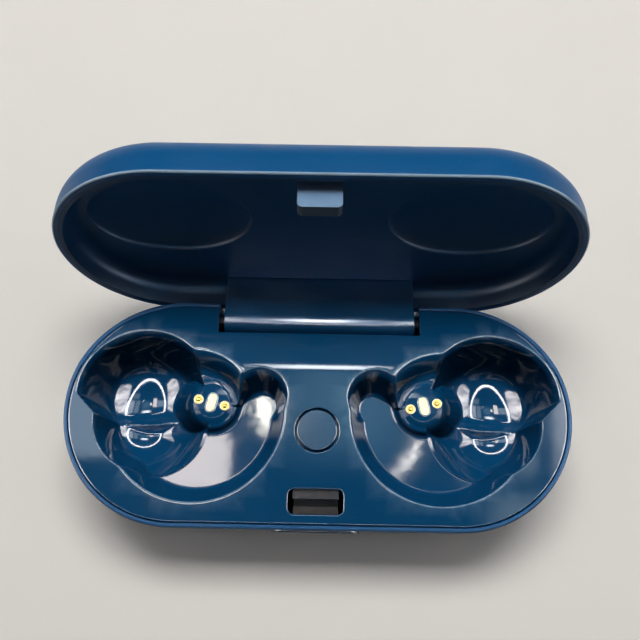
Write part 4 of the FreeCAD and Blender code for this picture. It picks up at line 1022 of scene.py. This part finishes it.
def makeFloor():
    mesh = bpy.data.meshes.new("tableTop")
    half = studio["floorHalf"]
    corners = [(-half, -half, 0), (half, -half, 0), (half, half, 0), (-half, half, 0)]
    mesh.from_pydata(corners, [], [(0, 1, 2, 3)])
    floor = bpy.data.objects.new("tableTop", mesh)
    scene.collection.objects.link(floor)
    mat, tree, shader = newMaterial("tablePaper")
    grain = noise(tree, inMillimetres(tree), 30.0, 3.0)
    low = tuple((1 - studio["floorSpeck"]) * c for c in studio["floor"])
    colour = mixColour(tree, grain, low, studio["floor"])
    shader.inputs["Roughness"].default_value = studio["floorRough"]
    # away from the object the table runs into an even backdrop, where no lamp reaches
    coords = addNode(tree, "ShaderNodeTexCoord").outputs["Object"]
    distance = addNode(tree, "ShaderNodeVectorMath", {0: coords}, operation="LENGTH").outputs["Value"]
    away = rangeNode(tree, distance, studio["near"], studio["far"], interpolation_type="SMOOTHSTEP")
    seen = backdropRays(tree)
    darker = tuple(studio["bounce"] * c for c in studio["floor"])
    tree.links.new(mixColour(tree, seen, darker, colour), shader.inputs["Base Color"])
    glow = addNode(tree, "ShaderNodeEmission", {"Color": colour,
                                                "Strength": studio["backdrop"] / studio["glow"]})
    blend = addNode(tree, "ShaderNodeMixShader", {0: mathNode(tree, "MULTIPLY", away, seen),
                                                  1: shader.outputs[0], 2: glow.outputs[0]})
    tree.links.new(blend.outputs[0], tree.nodes["Material Output"].inputs["Surface"])
    mesh.materials.append(mat)


def makeWorld():
    # pale backdrop near the horizon, dim and even overhead
    world = bpy.data.worlds.new("studio")
    scene.world = world
    world.use_nodes = True
    tree = world.node_tree
    background = tree.nodes["Background"]
    coords = addNode(tree, "ShaderNodeTexCoord").outputs["Generated"]
    height = addNode(tree, "ShaderNodeSeparateXYZ", {0: coords}).outputs["Z"]
    low, seenLow = [rangeNode(tree, height, *studio[key][::-1], interpolation_type="SMOOTHSTEP")
                    for key in ("horizon", "horizonSeen")]
    camera = addNode(tree, "ShaderNodeLightPath").outputs["Is Camera Ray"]
    low = mathNode(tree, "MAXIMUM", low, mathNode(tree, "MULTIPLY", seenLow, camera))
    pale = rangeNode(tree, low, 0.0, 1.0, studio["overhead"], studio["backdrop"])
    level = rangeNode(tree, backdropRays(tree), 0.0, 1.0, studio["ambient"], pale)
    background.inputs["Color"].default_value = studio["sky"]
    tree.links.new(level, background.inputs["Strength"])


def lamp(name, place, aim, size, radiance, gloss=True, diffuse=True, colour=(1, 1, 1)):
    # an area lamp given by how bright its face looks
    data = bpy.data.lights.new(name, "AREA")
    data.shape = "RECTANGLE" if len(size) == 2 else "DISK"
    data.size = size[0]
    area = math.pi * (size[0] / 2) ** 2
    if len(size) == 2:
        data.size_y = size[1]
        area = size[0] * size[1]
    data.energy = radiance * area * math.pi
    data.color = colour
    piece = bpy.data.objects.new(name, data)
    scene.collection.objects.link(piece)
    piece.location = Vector(place)
    piece.rotation_euler = (Vector(aim) - piece.location).to_track_quat("-Z", "Y").to_euler()
    piece.visible_camera = False
    piece.visible_glossy = gloss
    piece.visible_diffuse = diffuse
    return piece


def softenLamp(piece, feather, streaks=0.0, stretch=(1.0, 1.0, 1.0), spread=0.12):
    # soft edges and, where asked, uneven streaks across a lamp's face
    piece.data.use_nodes = True
    tree = piece.data.node_tree
    face = addNode(tree, "ShaderNodeNewGeometry").outputs["Parametric"]
    spot = addNode(tree, "ShaderNodeSeparateXYZ", {0: face})
    level = 1.0
    for axis in "XY":
        away = mathNode(tree, "ABSOLUTE", mathNode(tree, "SUBTRACT", spot.outputs[axis], 0.5))
        edge = rangeNode(tree, away, 0.5, 0.5 - feather, interpolation_type="SMOOTHSTEP")
        level = mathNode(tree, "MULTIPLY", level, edge)
    if streaks:
        scaled = addNode(tree, "ShaderNodeVectorMath", {0: face, 1: stretch}, operation="MULTIPLY").outputs[0]
        uneven = rangeNode(tree, noise(tree, scaled, 1.0, 3.0, 0.6), 0.5 - spread, 0.5 + spread, 1 - streaks)
        level = mathNode(tree, "MULTIPLY", level, uneven)
    tree.links.new(level, tree.nodes["Emission"].inputs["Strength"])


def hangLamp(name, setup):
    # a lamp in the overhead plane or just under it, facing down
    x, y = setup["x"], setup["y"]
    place = ((x[0] + x[1]) / 2, (y[0] + y[1]) / 2, studio["height"] - setup.get("under", 0))
    size = (x[1] - x[0], y[1] - y[0])
    piece = lamp(name, place, (*place[:2], 0), size, setup["light"], diffuse=False, colour=setup["colour"])
    piece.rotation_euler = (0, 0, math.radians(setup.get("turn", 0)))
    softenLamp(piece, setup["feather"], **setup.get("uneven", {}))
    if "lights" in setup:  # it shines on one frame piece only
        piece.light_linking.receiver_collection = bpy.data.collections.new("noseReceivers")
        piece.light_linking.receiver_collection.objects.link(frame["nodes"][setup["lights"]])


def makeRing():
    # a ring lamp for the gloss alone: a disk that shines only near its rim
    x, y, reach = studio["ring"]
    piece = lamp("ringLamp", (x, y, studio["height"] + studio["ringOver"]), (x, y, 0), (reach * 2,),
                 studio["ringLight"], diffuse=False)
    piece.data.use_nodes = True
    tree = piece.data.node_tree
    spot = addNode(tree, "ShaderNodeNewGeometry").outputs["Parametric"]
    offset = addNode(tree, "ShaderNodeVectorMath", {0: spot, 1: (0.5, 0.5, 0.0)}, operation="SUBTRACT")
    flat = addNode(tree, "ShaderNodeVectorMath", {0: offset.outputs[0], 1: (2 * reach, 2 * reach, 0.0)},
                   operation="MULTIPLY")
    away = addNode(tree, "ShaderNodeVectorMath", {0: flat.outputs[0]}, operation="LENGTH").outputs["Value"]
    band = mathNode(tree, "MULTIPLY", mathNode(tree, "GREATER_THAN", away, studio["ringBand"][0]),
                    mathNode(tree, "LESS_THAN", away, studio["ringBand"][1]))
    tree.links.new(band, tree.nodes["Emission"].inputs["Strength"])


def makeSideWindow(side):
    s = sideWindows
    window = lamp("sideWindow", (side * s["away"], s["y"], s["height"]), (0, s["y"], s["height"]), s["size"],
                  s["light"], diffuse=False, colour=s["colour"])
    softenLamp(window, s["feather"], s["streaks"], s["stretch"])


makeFloor()
makeWorld()
makeRing()
for name, setup in glossLamps.items():
    hangLamp(name, setup)
for side in (-1, 1):
    makeSideWindow(side)
lamp("topLamp", topLamp["place"], topLamp["aim"], topLamp["size"], topLamp["light"], gloss=False)
scene.view_settings.view_transform = "Standard"
print("studio made")
